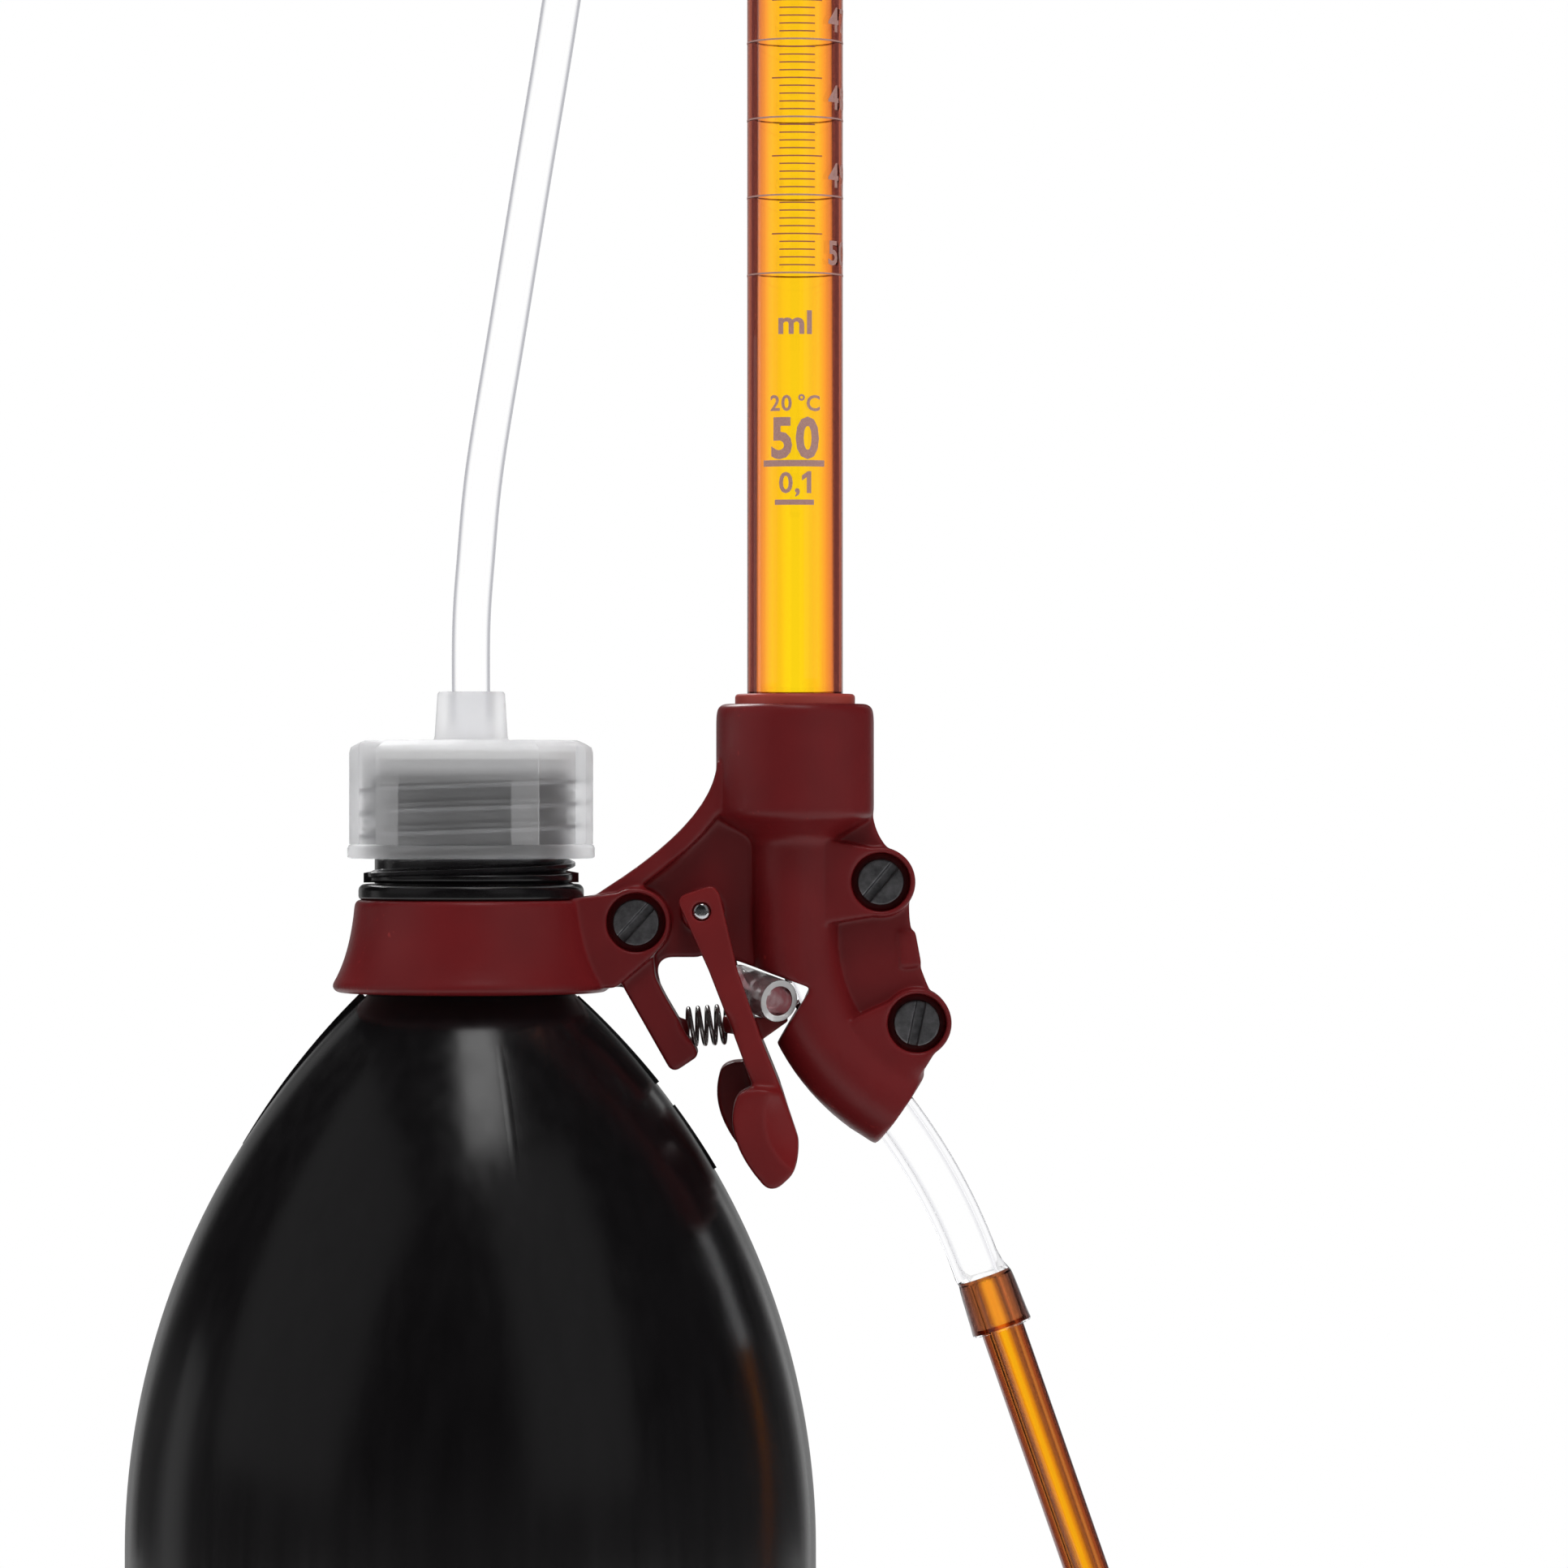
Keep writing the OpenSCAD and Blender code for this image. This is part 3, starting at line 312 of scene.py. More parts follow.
CLEAR_IN = glass("clear_bore", [
    (0.00, (1.0, 1.0, 1.0)), (0.60, (1.0, 1.0, 1.0)), (0.85, (0.95, 0.95, 0.96)),
    (1.00, (0.90, 0.90, 0.92))], HOSE_IOR, 0.0)
SILICONE = glass("clear_silicone", [
    (0.00, (1.0, 1.0, 1.0)), (0.12, (1.0, 1.0, 1.0)), (0.17, (0.88, 0.88, 0.90)),
    (0.22, (0.81, 0.81, 0.83)), (0.29, (0.90, 0.90, 0.91)), (0.36, (0.99, 0.99, 1.0)),
    (0.52, (0.99, 0.99, 1.0)), (0.62, (0.84, 0.84, 0.86)), (0.75, (0.77, 0.77, 0.80)),
    (1.00, (0.72, 0.72, 0.76))], HOSE_IOR, 0.0)
GRIP = glass("stretched_silicone", [
    (0.000, (0.88, 0.32, 0.026)), (0.032, (0.46, 0.142, 0.022)), (0.067, (0.20, 0.060, 0.026)),
    (0.134, (0.40, 0.118, 0.038)), (0.240, (0.24, 0.072, 0.030)), (0.400, (0.155, 0.060, 0.042)),
    (0.700, (0.135, 0.085, 0.082)), (1.000, (0.30, 0.28, 0.29))], 1.30, 0.12)
NATURAL_IN = glass("natural_bore", [
    (0.00, (0.97, 0.97, 0.97)), (0.15, (0.95, 0.95, 0.95)), (0.30, (0.72, 0.72, 0.73)),
    (0.50, (0.40, 0.40, 0.41)), (0.75, (0.31, 0.31, 0.32)), (1.00, (0.31, 0.31, 0.32))],
    NATURAL_IOR, NATURAL_ROUGH)


def amber_bore():
    """Inside of amber glass: nearly clear, because the outside tints the light."""
    m, _, p = material("amber_bore")
    p.inputs["Base Color"].default_value = (1.0, 0.98, 0.93, 1)
    see_through(p, 1.0, GLASS_IOR, 0.0)
    return m


AMBER_IN = amber_bore()


def frosted(name, base, see, rough):
    """Cut soft tube: clear, with enough haze for its cut end to show."""
    m, t, p = material(name)
    link(t, ramp(t, noise(t, 900), [(0.3, base * 0.94), (0.7, base)]), p.inputs["Base Color"])
    see_through(p, see, CUT_IOR, rough)
    return m


SPACER = frosted("spacer_tube", 0.97, 0.94, 0.05)
SPACER_END = frosted("spacer_cut", 0.62, 0.35, 0.40)


def bore_tint():
    """Bore of the spacer: a painted reflection of the red plastic round it, in long streaks."""
    m, t, p = material("spacer_bore")
    # painted reflection: dark red and white streaks standing for the red parts round the bore
    streaks = ramp(t, noise(t, 330, 2.0), [
        (0.42, (0.12, 0.016, 0.020)), (0.58, (0.22, 0.09, 0.10)), (0.66, (0.90, 0.88, 0.88))])
    link(t, streaks, p.inputs["Base Color"])
    see_through(p, 0.55, CUT_IOR, 0.10)
    return m


SPACER_BORE = bore_tint()


def natural():
    """Natural polyethylene: see-through where it is thin, and milkier where the mesh says so."""
    m, t, p = material("natural_plastic")
    p.inputs["IOR"].default_value = NATURAL_IOR
    p.inputs["Roughness"].default_value = NATURAL_ROUGH
    milk = t.nodes.new("ShaderNodeAttribute")
    milk.attribute_name = "milk"
    link(t, ramp(t, milk.outputs["Fac"], [(0.0, 0.99), (1.0, 0.30)]), p.inputs["Transmission Weight"])
    tone = ramp(t, noise(t, 160, 2.0), [(0.3, (0.90, 0.90, 0.915)), (0.7, (0.95, 0.95, 0.96))])
    link(t, tone, p.inputs["Base Color"])
    bump(t, p, noise(t, 1500), 0.06, 0.00003)
    return m


NATURAL = natural()


def print_ink(name, dark, light):
    m, t, p = material(name)
    link(t, ramp(t, noise(t, 9000, 2.0), [(0.35, dark), (0.70, light)]), p.inputs["Base Color"])
    p.inputs["Roughness"].default_value = 0.6
    return m


INK = print_ink("scale_print", (0.36, 0.185, 0.160), (0.50, 0.29, 0.26))
INK_LINE = print_ink("scale_lines", (0.30, 0.085, 0.040), (0.42, 0.130, 0.065))


# mesh helpers: lengths in millimetres
def put(name, verts, faces, mat, body, stands_for=(), smooth=40, place=None):
    mesh = bpy.data.meshes.new(name)
    mesh.from_pydata([tuple(c * MM for c in v) for v in verts], [], faces)
    mesh.validate()
    return put_mesh(name, mesh, mat, body, stands_for, smooth, place)


def put_mesh(name, mesh, mat, body, stands_for=(), smooth=40, place=None):
    """A piece that rides on a body, in place of the nodes that it stands for."""
    if place is not None:
        mesh.transform(place)
    mesh.name = name
    mesh.materials.clear()
    for m in mat if isinstance(mat, (list, tuple)) else [mat]:
        mesh.materials.append(m)
    bm = bmesh.new()
    bm.from_mesh(mesh)
    bmesh.ops.recalc_face_normals(bm, faces=bm.faces)
    bm.to_mesh(mesh)
    bm.free()
    mesh.polygons.foreach_set("use_smooth", [True] * len(mesh.polygons))
    mesh.set_sharp_from_angle(angle=math.radians(smooth))
    o = bpy.data.objects.new(name, mesh)
    scene.collection.objects.link(o)
    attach(o, body)
    if stands_for:
        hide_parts(*stands_for)
    return o


def skin(faces, first, rings, sides, ends=True):
    """Faces between rings of points that follow each other, and over the two ends."""
    for i in range(rings - 1):
        a = first + i * sides
        for k in range(sides):
            j = (k + 1) % sides
            faces.append((a + k, a + j, a + sides + j, a + sides + k))
    if ends:
        last = first + (rings - 1) * sides
        faces.append([first + k for k in range(sides)][::-1])
        faces.append([last + k for k in range(sides)])


def lathe(profile, segs):
    """Closed profile of (radius, height) pairs turned round Z. Points on the axis are shared."""
    verts, ring = [], []
    for r, z in profile:
        if r < 1e-6:
            ring.append([len(verts)] * segs)
            verts.append((0.0, 0.0, z))
        else:
            first = len(verts)
            ring.append([first + k for k in range(segs)])
            for k in range(segs):
                a = 2 * math.pi * k / segs
                verts.append((r * math.cos(a), r * math.sin(a), z))
    faces = []
    n = len(profile)
    for i in range(n):
        a, b = ring[i], ring[(i + 1) % n]
        for k in range(segs):
            j = (k + 1) % segs
            corners = []
            for v in (a[k], a[j], b[j], b[k]):
                if v not in corners:
                    corners.append(v)
            if len(corners) > 2:
                faces.append(corners)
    return verts, faces


def arc(cx, cy, r, a0, a1, n):
    """Points of an arc, angles in degrees."""
    angles = [math.radians(a0 + (a1 - a0) * i / n) for i in range(n + 1)]
    return [(cx + r * math.cos(a), cy + r * math.sin(a)) for a in angles]


def rounded(points, n=5):
    """Corners of a closed outline rounded: each point is x, y and the radius of its corner."""
    out = []
    m = len(points)
    for i in range(m):
        x, y, r = points[i]
        b = np.array((x, y))
        a = np.array(points[i - 1][:2])
        c = np.array(points[(i + 1) % m][:2])
        u, v = (a - b) / np.linalg.norm(a - b), (c - b) / np.linalg.norm(c - b)
        half = math.acos(max(-1, min(1, float(u @ v)))) / 2
        if r < 1e-4 or half > 1.55:
            out.append((x, y))
            continue
        r = min(r, 0.45 * min(np.linalg.norm(a - b), np.linalg.norm(c - b)) * math.tan(half))
        mid = b + (u + v) / np.linalg.norm(u + v) * r / math.sin(half)
        p, q = b + u * r / math.tan(half) - mid, b + v * r / math.tan(half) - mid
        turn = math.copysign(math.pi - 2 * half, p[0] * q[1] - p[1] * q[0])
        for j in range(n + 1):
            w = turn * j / n
            out.append((mid[0] + p[0] * math.cos(w) - p[1] * math.sin(w),
                        mid[1] + p[0] * math.sin(w) + p[1] * math.cos(w)))
    return out


def ease(a, b, t):
    return a + (b - a) * (1 - math.cos(math.pi * t)) / 2


def spline(points, steps):
    """Catmull-Rom curve through the points."""
    p = [np.array(q, float) for q in points]
    p = [p[0]] + p + [p[-1]]
    out = []
    for a, b, c, d in zip(p, p[1:], p[2:], p[3:]):
        for j in range(steps):
            t = j / steps
            out.append(0.5 * (2 * b + (c - a) * t + (2 * a - 5 * b + 4 * c - d) * t * t
                              + (3 * b - a - 3 * c + d) * t ** 3))
    out.append(p[-1])
    return out


def pipe(line, outer, inner, sides, fuller=None):
    """Hollow hose round a line in the X and Z plane, with an outer and an inner radius at each point.
    Fuller is how much wider the hose lies towards its left at each point. Also gives the bore's faces."""
    n = len(line)
    verts = []
    for radii in (outer, inner):
        for i in range(n):
            step = np.array(line[min(i + 1, n - 1)]) - np.array(line[max(i - 1, 0)])
            lean = math.atan2(step[0], step[1])
            more = fuller[i] if fuller else 0.0
            for k in range(sides):
                a = 2 * math.pi * k / sides
                u = more + (radii[i] + more) * math.cos(a)
                verts.append((line[i][0] + u * math.cos(lean), radii[i] * math.sin(a),
                              line[i][1] - u * math.sin(lean)))
    faces = []
    bore = n * sides
    skin(faces, 0, n, sides, ends=False)
    skin(faces, bore, n, sides, ends=False)
    inside = range(len(faces) // 2, len(faces))
    for end in (0, bore - sides):
        for k in range(sides):
            j = (k + 1) % sides
            faces.append((end + k, bore + end + k, bore + end + j, end + j))
    return verts, faces, inside


def evaluated(obj):
    bpy.context.view_layer.update()
    dg = bpy.context.evaluated_depsgraph_get()
    return bpy.data.meshes.new_from_object(obj.evaluated_get(dg))


def softened(node, voxel, passes, zones=()):
    """The node's shape with moulded edges: welded, remeshed finely and smoothed. A zone is a weight for
    each vertex, from its X and its height over the shoulder, and the passes that it adds there."""
    work = bpy.data.objects.new("soft_work", nodes[node].data.copy())
    scene.collection.objects.link(work)
    work.modifiers.new("weld", "WELD").merge_threshold = 1e-6
    remesh = work.modifiers.new("remesh", "REMESH")
    remesh.mode = "VOXEL"
    remesh.voxel_size = voxel * MM
    mesh = evaluated(work)
    bpy.data.objects.remove(work)
    work = bpy.data.objects.new("soft_work", mesh)
    scene.collection.objects.link(work)
    smooth = work.modifiers.new("smooth", "SMOOTH")
    smooth.factor = 0.5
    smooth.iterations = passes
    for i, (weight, more) in enumerate(zones):
        group = work.vertex_groups.new(name="zone%d" % i)
        for v in mesh.vertices:
            k = weight(v.co.x / MM, v.co.z / MM - NECK_Z)
            if k > 0.02:
                group.add([v.index], min(1.0, k), "REPLACE")
        smooth = work.modifiers.new("zone", "SMOOTH")
        smooth.factor = 0.5
        smooth.iterations = more
        smooth.vertex_group = group.name
    out = evaluated(work)
    bpy.data.objects.remove(work)
    bpy.data.meshes.remove(mesh)
    return out


def near(x0, h0, x1, h1, reach):
    """Weight that falls off from a line in the X and height plane."""
    run, climb = x1 - x0, h1 - h0

    def weight(x, h):
        along = ((x - x0) * run + (h - h0) * climb) / (run ** 2 + climb ** 2)
        along = max(0.0, min(1.0, along))
        away = math.hypot(x - x0 - along * run, h - h0 - along * climb)
        return 1.5 * (1 - away / reach)
    return weight


def below(top, fade):
    """Weight that grows downwards from a height."""
    return lambda x, h: (top - h) / fade


def bore_faces(obj, mid, axis):
    """Faces that look at the axis take the second material: the bore."""
    for p in obj.data.polygons:
        d = p.center - mid
        d = d - axis * d.dot(axis)
        if p.normal.dot(d) < 0:
            p.material_index = 1


# riser hose: a free hose from the cap's boss to the filling head, by shares of its rise and its reach
RISER_ROUTE = [
    (0, 0), (0.02, 0), (0.035, 0.02), (0.055, 0.06), (0.085, 0.16), (0.115, 0.26),
    (0.155, 0.395), (0.21, 0.56), (0.27, 0.72), (0.335, 0.85), (0.41, 0.94), (0.49, 0.985),
    (0.57, 1), (0.72, 1), (0.86, 1), (1, 1)]
riser_line = spline([(w * RISER_X, RISER_Z + h * (RISER_TOP - RISER_Z)) for h, w in RISER_ROUTE], 6)
verts, faces, inside = pipe(riser_line, [RISER_R] * len(riser_line), [RISER_BORE_R] * len(riser_line), 64)
riser = put("riser_hose_clear", verts, faces, [CLEAR, CLEAR_IN], "stand", ["riser_hose"])
for i in inside:
    riser.data.polygons[i].material_index = 1

# bottle
WALL_ROWS = (30, 60, 90)
LIP = 0.6
LIP_IN = 0.4
# ring under the thread: how far out, and how high over the bead
RATCHET = ((0.0, 0.15), (0.55, 0.35), (0.72, 0.6), (0.72, 1.2), (0.55, 1.45), (0.0, 1.65))


def bottle_outline():
    """Half section of the bottle: up the outside, over the lip and down the inside."""
    edge = BOTTLE_R - FOOT_R - FOOT_W
    punt_r = (edge ** 2 + PUNT_H ** 2) / (2 * PUNT_H)
    shoulder_x = BOTTLE_R - SHOULDER_R
    top = math.degrees(math.asin((NECK_Z - WALL_H) / SHOULDER_R))
    inner = SHOULDER_R - BOTTLE_WALL
    low = math.degrees(math.acos((MOUTH_R - shoulder_x) / inner))

    def dome(r, n):
        drop = PUNT_H - punt_r
        return [(edge * i / n, drop + math.sqrt(r ** 2 - (edge * i / n) ** 2)) for i in range(n + 1)]

    bead = [(NECK_R - 1, BEAD_Z, 0), (BEAD_R, BEAD_Z, 0.5),
            (BEAD_R, FINISH_Z, 0.9), (FINISH_R - 1, FINISH_Z, 0)]
    out = dome(punt_r, 10)
    out += arc(BOTTLE_R - FOOT_R, FOOT_R, FOOT_R, -90, 0, 10)
    out += [(BOTTLE_R, z) for z in WALL_ROWS]
    out += arc(shoulder_x, WALL_H, SHOULDER_R, 0, top, 40)
    out += [(NECK_R, BEAD_Z - 0.02)]
    out += rounded(bead, 5)[1:-1]
    out += [(FINISH_R, FINISH_Z)]
    out += [(FINISH_R + d, FINISH_Z + h) for d, h in RATCHET]
    out += [(FINISH_R, NECK_TOP - LIP), (FINISH_R - LIP, NECK_TOP)]
    out += [(MOUTH_R + LIP_IN, NECK_TOP), (MOUTH_R, NECK_TOP - LIP_IN), (MOUTH_R, NECK_Z - 3)]
    out += arc(shoulder_x, WALL_H, inner, low, 0, 24)[1:]
    out += [(BOTTLE_R - BOTTLE_WALL, WALL_ROWS[1])]
    out += arc(BOTTLE_R - FOOT_R, FOOT_R, FOOT_R - BOTTLE_WALL, 0, -90, 8)
    out += dome(punt_r + BOTTLE_WALL, 8)[::-1]
    return out


verts, faces = lathe(bottle_outline(), 192)
put("bottle_body", verts, faces, BLACK, "stand", ["bottle"], smooth=50)


def shoulder_at(z):
    """Radius of the bottle at a height, and the lean of its normal."""
    s = (z - WALL_H) / SHOULDER_R
    return BOTTLE_R - SHOULDER_R + SHOULDER_R * math.sqrt(1 - s * s), math.asin(s)


def seam_fin(name, side, spans):
    """Mould seam: a thin rib that stands on the shoulder. A span is its two depths below the neck and its
    height at each."""
    verts, faces = [], []
    rows = 16
    for z0, z1, tall0, tall1 in spans:
        first = len(verts)
        for i in range(rows + 1):
            z = NECK_Z - z0 - (z1 - z0) * i / rows
            tall = tall0 + (tall1 - tall0) * i / rows
            r, lean = shoulder_at(z)
            section = [(-0.45, -0.35), (-0.30, 0.8 * tall), (-0.12, tall)]
            section += [(-across, out) for across, out in section[::-1]]
            for across, out in section:
                verts.append((side * (r + math.cos(lean) * out), across, z + math.sin(lean) * out))
        skin(faces, first, rows + 1, 6)
    put(name, verts, faces, BLACK, "stand", smooth=30)


seam_fin("seam_fin_left", -1, [(0.6, 20.6, 0.80, 0.10)])
seam_fin("seam_fin_right", 1, [(0.6, 12.4, 0.20, 0.42), (15.4, 24.0, 0.24, 0.36)])

LINE_TURN = -90 + 13.2
LINE_FROM = 6.5
LINE_L = 18.5
LINE_OUT = 0.014


def seam_line():
    """Faint parting line down the front of the shoulder."""
    verts, faces = [], []
    a = math.radians(LINE_TURN)
    rows = 24
    for i in range(rows + 1):
        z = NECK_Z - LINE_FROM - LINE_L * i / rows
        r, lean = shoulder_at(z)
        out = LINE_OUT * min(1.0, 4 * min(i, rows - i) / rows)
        for side, d in ((-0.9, -0.03), (-0.25, out), (0.25, out), (0.9, -0.03)):
            q = r + math.cos(lean) * d
            verts.append((q * math.cos(a) - side * math.sin(a), q * math.sin(a) + side * math.cos(a),
                          z + math.sin(lean) * d))
    skin(faces, 0, rows + 1, 4)
    put("seam_line", verts, faces, BLACK, "stand", smooth=70)


seam_line()

# neck: two teeth on the ratchet ring, one at each seam, and the thread
TOOTH = ((-7.0, 0.0), (3.5, 1.5), (6.0, 1.5), (7.0, 0.0))
TOOTH_FOOT = 0.2
TOOTH_TOP = 1.5
TOOTH_ROOT_TOP = 1.8
THREAD_R = 14.15


def neck_teeth():
    """A tooth's corners are its turn in degrees and how far it stands out."""
    verts, faces = [], []
    for mid in (0.0, 180.0):
        first = len(verts)
        for high in (False, True):
            for turn, out in TOOTH:
                a = math.radians(mid + turn)
                up = TOOTH_FOOT
                if high:
                    up = TOOTH_TOP if out else TOOTH_ROOT_TOP
                r = FINISH_R + out
                verts.append((r * math.cos(a), r * math.sin(a), FINISH_Z + up))
        skin(faces, first, 2, len(TOOTH))
    put("neck_teeth", verts, faces, BLACK, "stand", smooth=30)


def thread(z0, turns, core, crest, first_a, wide=1.0):
    """A ridge that climbs round and runs out softly at both ends. It stands inwards where its crest is the
    smaller radius."""
    verts, faces = [], []
    rows = int(turns * 72)
    s = 1 if crest > core else -1
    for i in range(rows + 1):
        t = i / rows
        a = math.radians(first_a) + 2 * math.pi * turns * t
        z = z0 + LEAD * turns * t
        rise = min(1.0, min(t, 1 - t) * turns / 0.07)
        top = core + (crest - core) * max(0.04, rise)
        section = [(core - 0.3 * s, -0.85), (core, -0.75), (top - 0.12 * s, -0.34), (top, -0.2)]
        section += [(r, -up) for r, up in section[::-1]]
        for r, up in section:
            verts.append((r * math.cos(a), r * math.sin(a), z + up * wide))
    skin(faces, 0, rows + 1, 8)
    return verts, faces


neck_teeth()
verts, faces = thread(FINISH_Z + 1.4 - LEAD, turns=5.4, core=FINISH_R, crest=THREAD_R, first_a=-150)
put("neck_thread", verts, faces, BLACK, "stand", smooth=35)

# screw cap
PAD_TOP_Z = CAP_Z + 15.4
PAD_SIDE = 1.6
PAD_END = 17
# how milky its places are, from 0 to 1, and where its wall grows milkier
MILK_INSIDE = 0.05
MILK_THREAD = 0.06
MILK_WALL = 0.11
MILK_PAD_END = 0.19
MILK_FLANGE = 0.16
MILK_BOSS = 0.24
MILK_TOP = 0.62
MILK_FROM = CAP_Z + 9.8
MILK_OVER = 2.6


def pad_at(a):
    """How far a grip pad stands out at an angle, from 0 to 1, and whether its end is near."""
    half = PAD_ANGLE / 2
    d = min(abs((a - PAD_TURN - 360 / PADS * i + 180) % 360 - 180) for i in range(PADS))
    out = max(0.0, min(1.0, (half - d) / PAD_SIDE))
    return out * out * (3 - 2 * out), half - PAD_END < d < half + 1


def cap_mesh():
    """The cap as rings, each with its radius, its height and the share of the pads' standing out that it
    takes, and how milky each point is."""
    segs = 360
    bore = RISER_R + 0.3
    rows = [
        (CAP_BORE_R, CAP_CEILING_Z, 0), (CAP_BORE_R, CAP_Z + 0.5, 0), (CAP_BORE_R + 0.3, CAP_Z, 0),
        (FLANGE_R - 0.3, CAP_Z, 0), (FLANGE_R - 0.06, CAP_Z + 0.12, 0), (FLANGE_R, CAP_Z + 0.35, 0),
        (FLANGE_R, FLANGE_Z - 0.55, 0), (FLANGE_R - 0.16, FLANGE_Z - 0.16, 0),
        (FLANGE_R - 0.55, FLANGE_Z, 0), (CAP_R, FLANGE_Z + 0.02, 1), (CAP_R, FLANGE_Z + 0.5, 1),
        (CAP_R, CAP_Z + 8, 1), (CAP_R, MILK_FROM, 1),
        (CAP_R, CAP_Z + 11, 1), (CAP_R, MILK_FROM + MILK_OVER, 1), (CAP_R, PAD_TOP_Z - 1.1, 1),
        (CAP_R, PAD_TOP_Z - 0.35, 0.82), (CAP_R, PAD_TOP_Z, 0.35),
        (CAP_R - 0.25, CAP_TOP_Z - 0.25, 0), (CAP_R - 0.9, CAP_TOP_Z, 0),
        (BOSS_R + 0.5, CAP_TOP_Z, 0), (BOSS_R + 0.05, CAP_TOP_Z + 0.15, 0),
        (BOSS_R - 0.05, CAP_TOP_Z + 0.6, 0),
        (BOSS_TOP_R + 0.03, BOSS_Z - 0.3, 0), (BOSS_TOP_R - 0.2, BOSS_Z, 0),
        (bore + 0.2, BOSS_Z, 0), (bore, BOSS_Z - 0.25, 0), (bore, CAP_CEILING_Z, 0)]
    verts, milk = [], []
    for r, z, share in rows:
        high = max(0.0, min(1.0, (z - MILK_FROM) / MILK_OVER))
        for k in range(segs):
            a = 360.0 * k / segs
            out, near_end = pad_at(a)
            reach = r + PAD_OUT * out * share
            verts.append((reach * math.cos(math.radians(a)), reach * math.sin(math.radians(a)), z))
            if z > CAP_TOP_Z + 0.1:
                milk.append(MILK_BOSS)
            elif share == 0 and r > CAP_R and z < FLANGE_Z + 0.1:
                milk.append(MILK_FLANGE)
            elif z > CAP_TOP_Z - 0.3:
                milk.append(MILK_TOP)
            elif share:
                milk.append(max(MILK_WALL + MILK_PAD_END * near_end, MILK_TOP * high))
            else:
                milk.append(MILK_INSIDE)
    faces = []
    skin(faces, 0, len(rows), segs, ends=False)
    last = (len(rows) - 1) * segs
    for k in range(segs):
        j = (k + 1) % segs
        faces.append((last + k, last + j, j, k))
    return verts, faces, milk


def make_milky(obj, milk):
    obj.data.attributes.new("milk", "FLOAT", "POINT").data.foreach_set("value", np.array(milk, np.float32))


verts, faces, milk = cap_mesh()
cap = put("cap_milky", verts, faces, [NATURAL, NATURAL_IN], "cap", ["screw_cap"],
          smooth=50)
for p in cap.data.polygons:
    away = math.hypot(p.center.x, p.center.y) / MM
    if abs(away - CAP_BORE_R) < 0.01 and abs(p.normal.z) < 0.1:
        p.material_index = 1
make_milky(cap, milk)
verts, faces = thread(FINISH_Z + 2.1 + 1.25 * LEAD, turns=2.9, core=CAP_BORE_R - 0.02,
                      crest=CAP_BORE_R - 0.4, first_a=120, wide=0.32)
cap_ridge = put("cap_thread", verts, faces, NATURAL, "cap", smooth=35)
make_milky(cap_ridge, [MILK_THREAD] * len(verts))

# holder, lever and head: the CAD forms with moulded edges, and softer places
EAR_FOOT = (near(52.4, -8.0, 60.4, -12.0, 2.4), 120)
ARM_EDGE = (near(23.5, 13.6, 31.0, 18.2, 2.2), 50)
ARM_TOP = (near(31.0, 18.2, 34.6, 24.0, 2.2), 50)
SOCKET_RIM = (near(32.0, 39.2, 56.0, 39.2, 2.6), 60)
LUG_PEG = (near(30.0, -4.7, 36.0, -4.2, 2.2), 160)
MOUTH_CORNER = (near(54.4, -19.4, 55.6, -20.4, 3.2), 160)
LOBES = (below(-11.5, 1.5), 26)
LOBE_TOP = (near(36.0, -13.2, 46.0, -13.2, 3.2), 50)
LEVER_PEG = (near(31.0, -4.5, 35.0, -4.2, 2.0), 160)
HOLDER_ZONES = [EAR_FOOT, ARM_EDGE, ARM_TOP, SOCKET_RIM, LUG_PEG, MOUTH_CORNER]
for side in ("front", "rear"):
    mesh = softened(side + "_holder", voxel=0.22, passes=20, zones=HOLDER_ZONES)
    put_mesh("holder_" + side, mesh, RED, "stand", [side + "_holder"], smooth=80)
mesh = softened("pinch_lever", voxel=0.2, passes=14, zones=[LOBES, LOBE_TOP, LEVER_PEG])
put_mesh("lever_red", mesh, RED_LEVER_PAINTED_LIGHT, "lever", ["pinch_lever"], smooth=80)
mesh = softened("filling_head", voxel=0.3, passes=8)
put_mesh("head_red", mesh, RED, "stand", ["filling_head"], smooth=80)

# bush
BUSH_Z = NECK_Z + 27.0
BUSH_TOP_Z = NECK_Z + 40.5
BUSH_R = 8.15
BUSH_IN_R = TUBE_R + 0.1
TUBE_PLACE = Matrix.Translation((TUBE_X * MM, 0, 0))
bush = [(BUSH_IN_R, BUSH_Z, 0.2), (BUSH_R, BUSH_Z, 0.3),
        (BUSH_R, BUSH_TOP_Z, 0.5), (BUSH_IN_R, BUSH_TOP_Z, 0.25)]
verts, faces = lathe(rounded(bush, 4), 96)
put("bush_red", verts, faces, RED_BUSH_PAINTED_LIGHT, "stand", ["tube_bush"], place=TUBE_PLACE)

# measuring tube
TAPER_Z = NECK_Z + 26.5
TAPER_FOOT_Z = NECK_Z + 20.8
STEM_Z = NECK_Z + 11.3
STEM_R = 1.7
STEM_BORE_R = 0.9


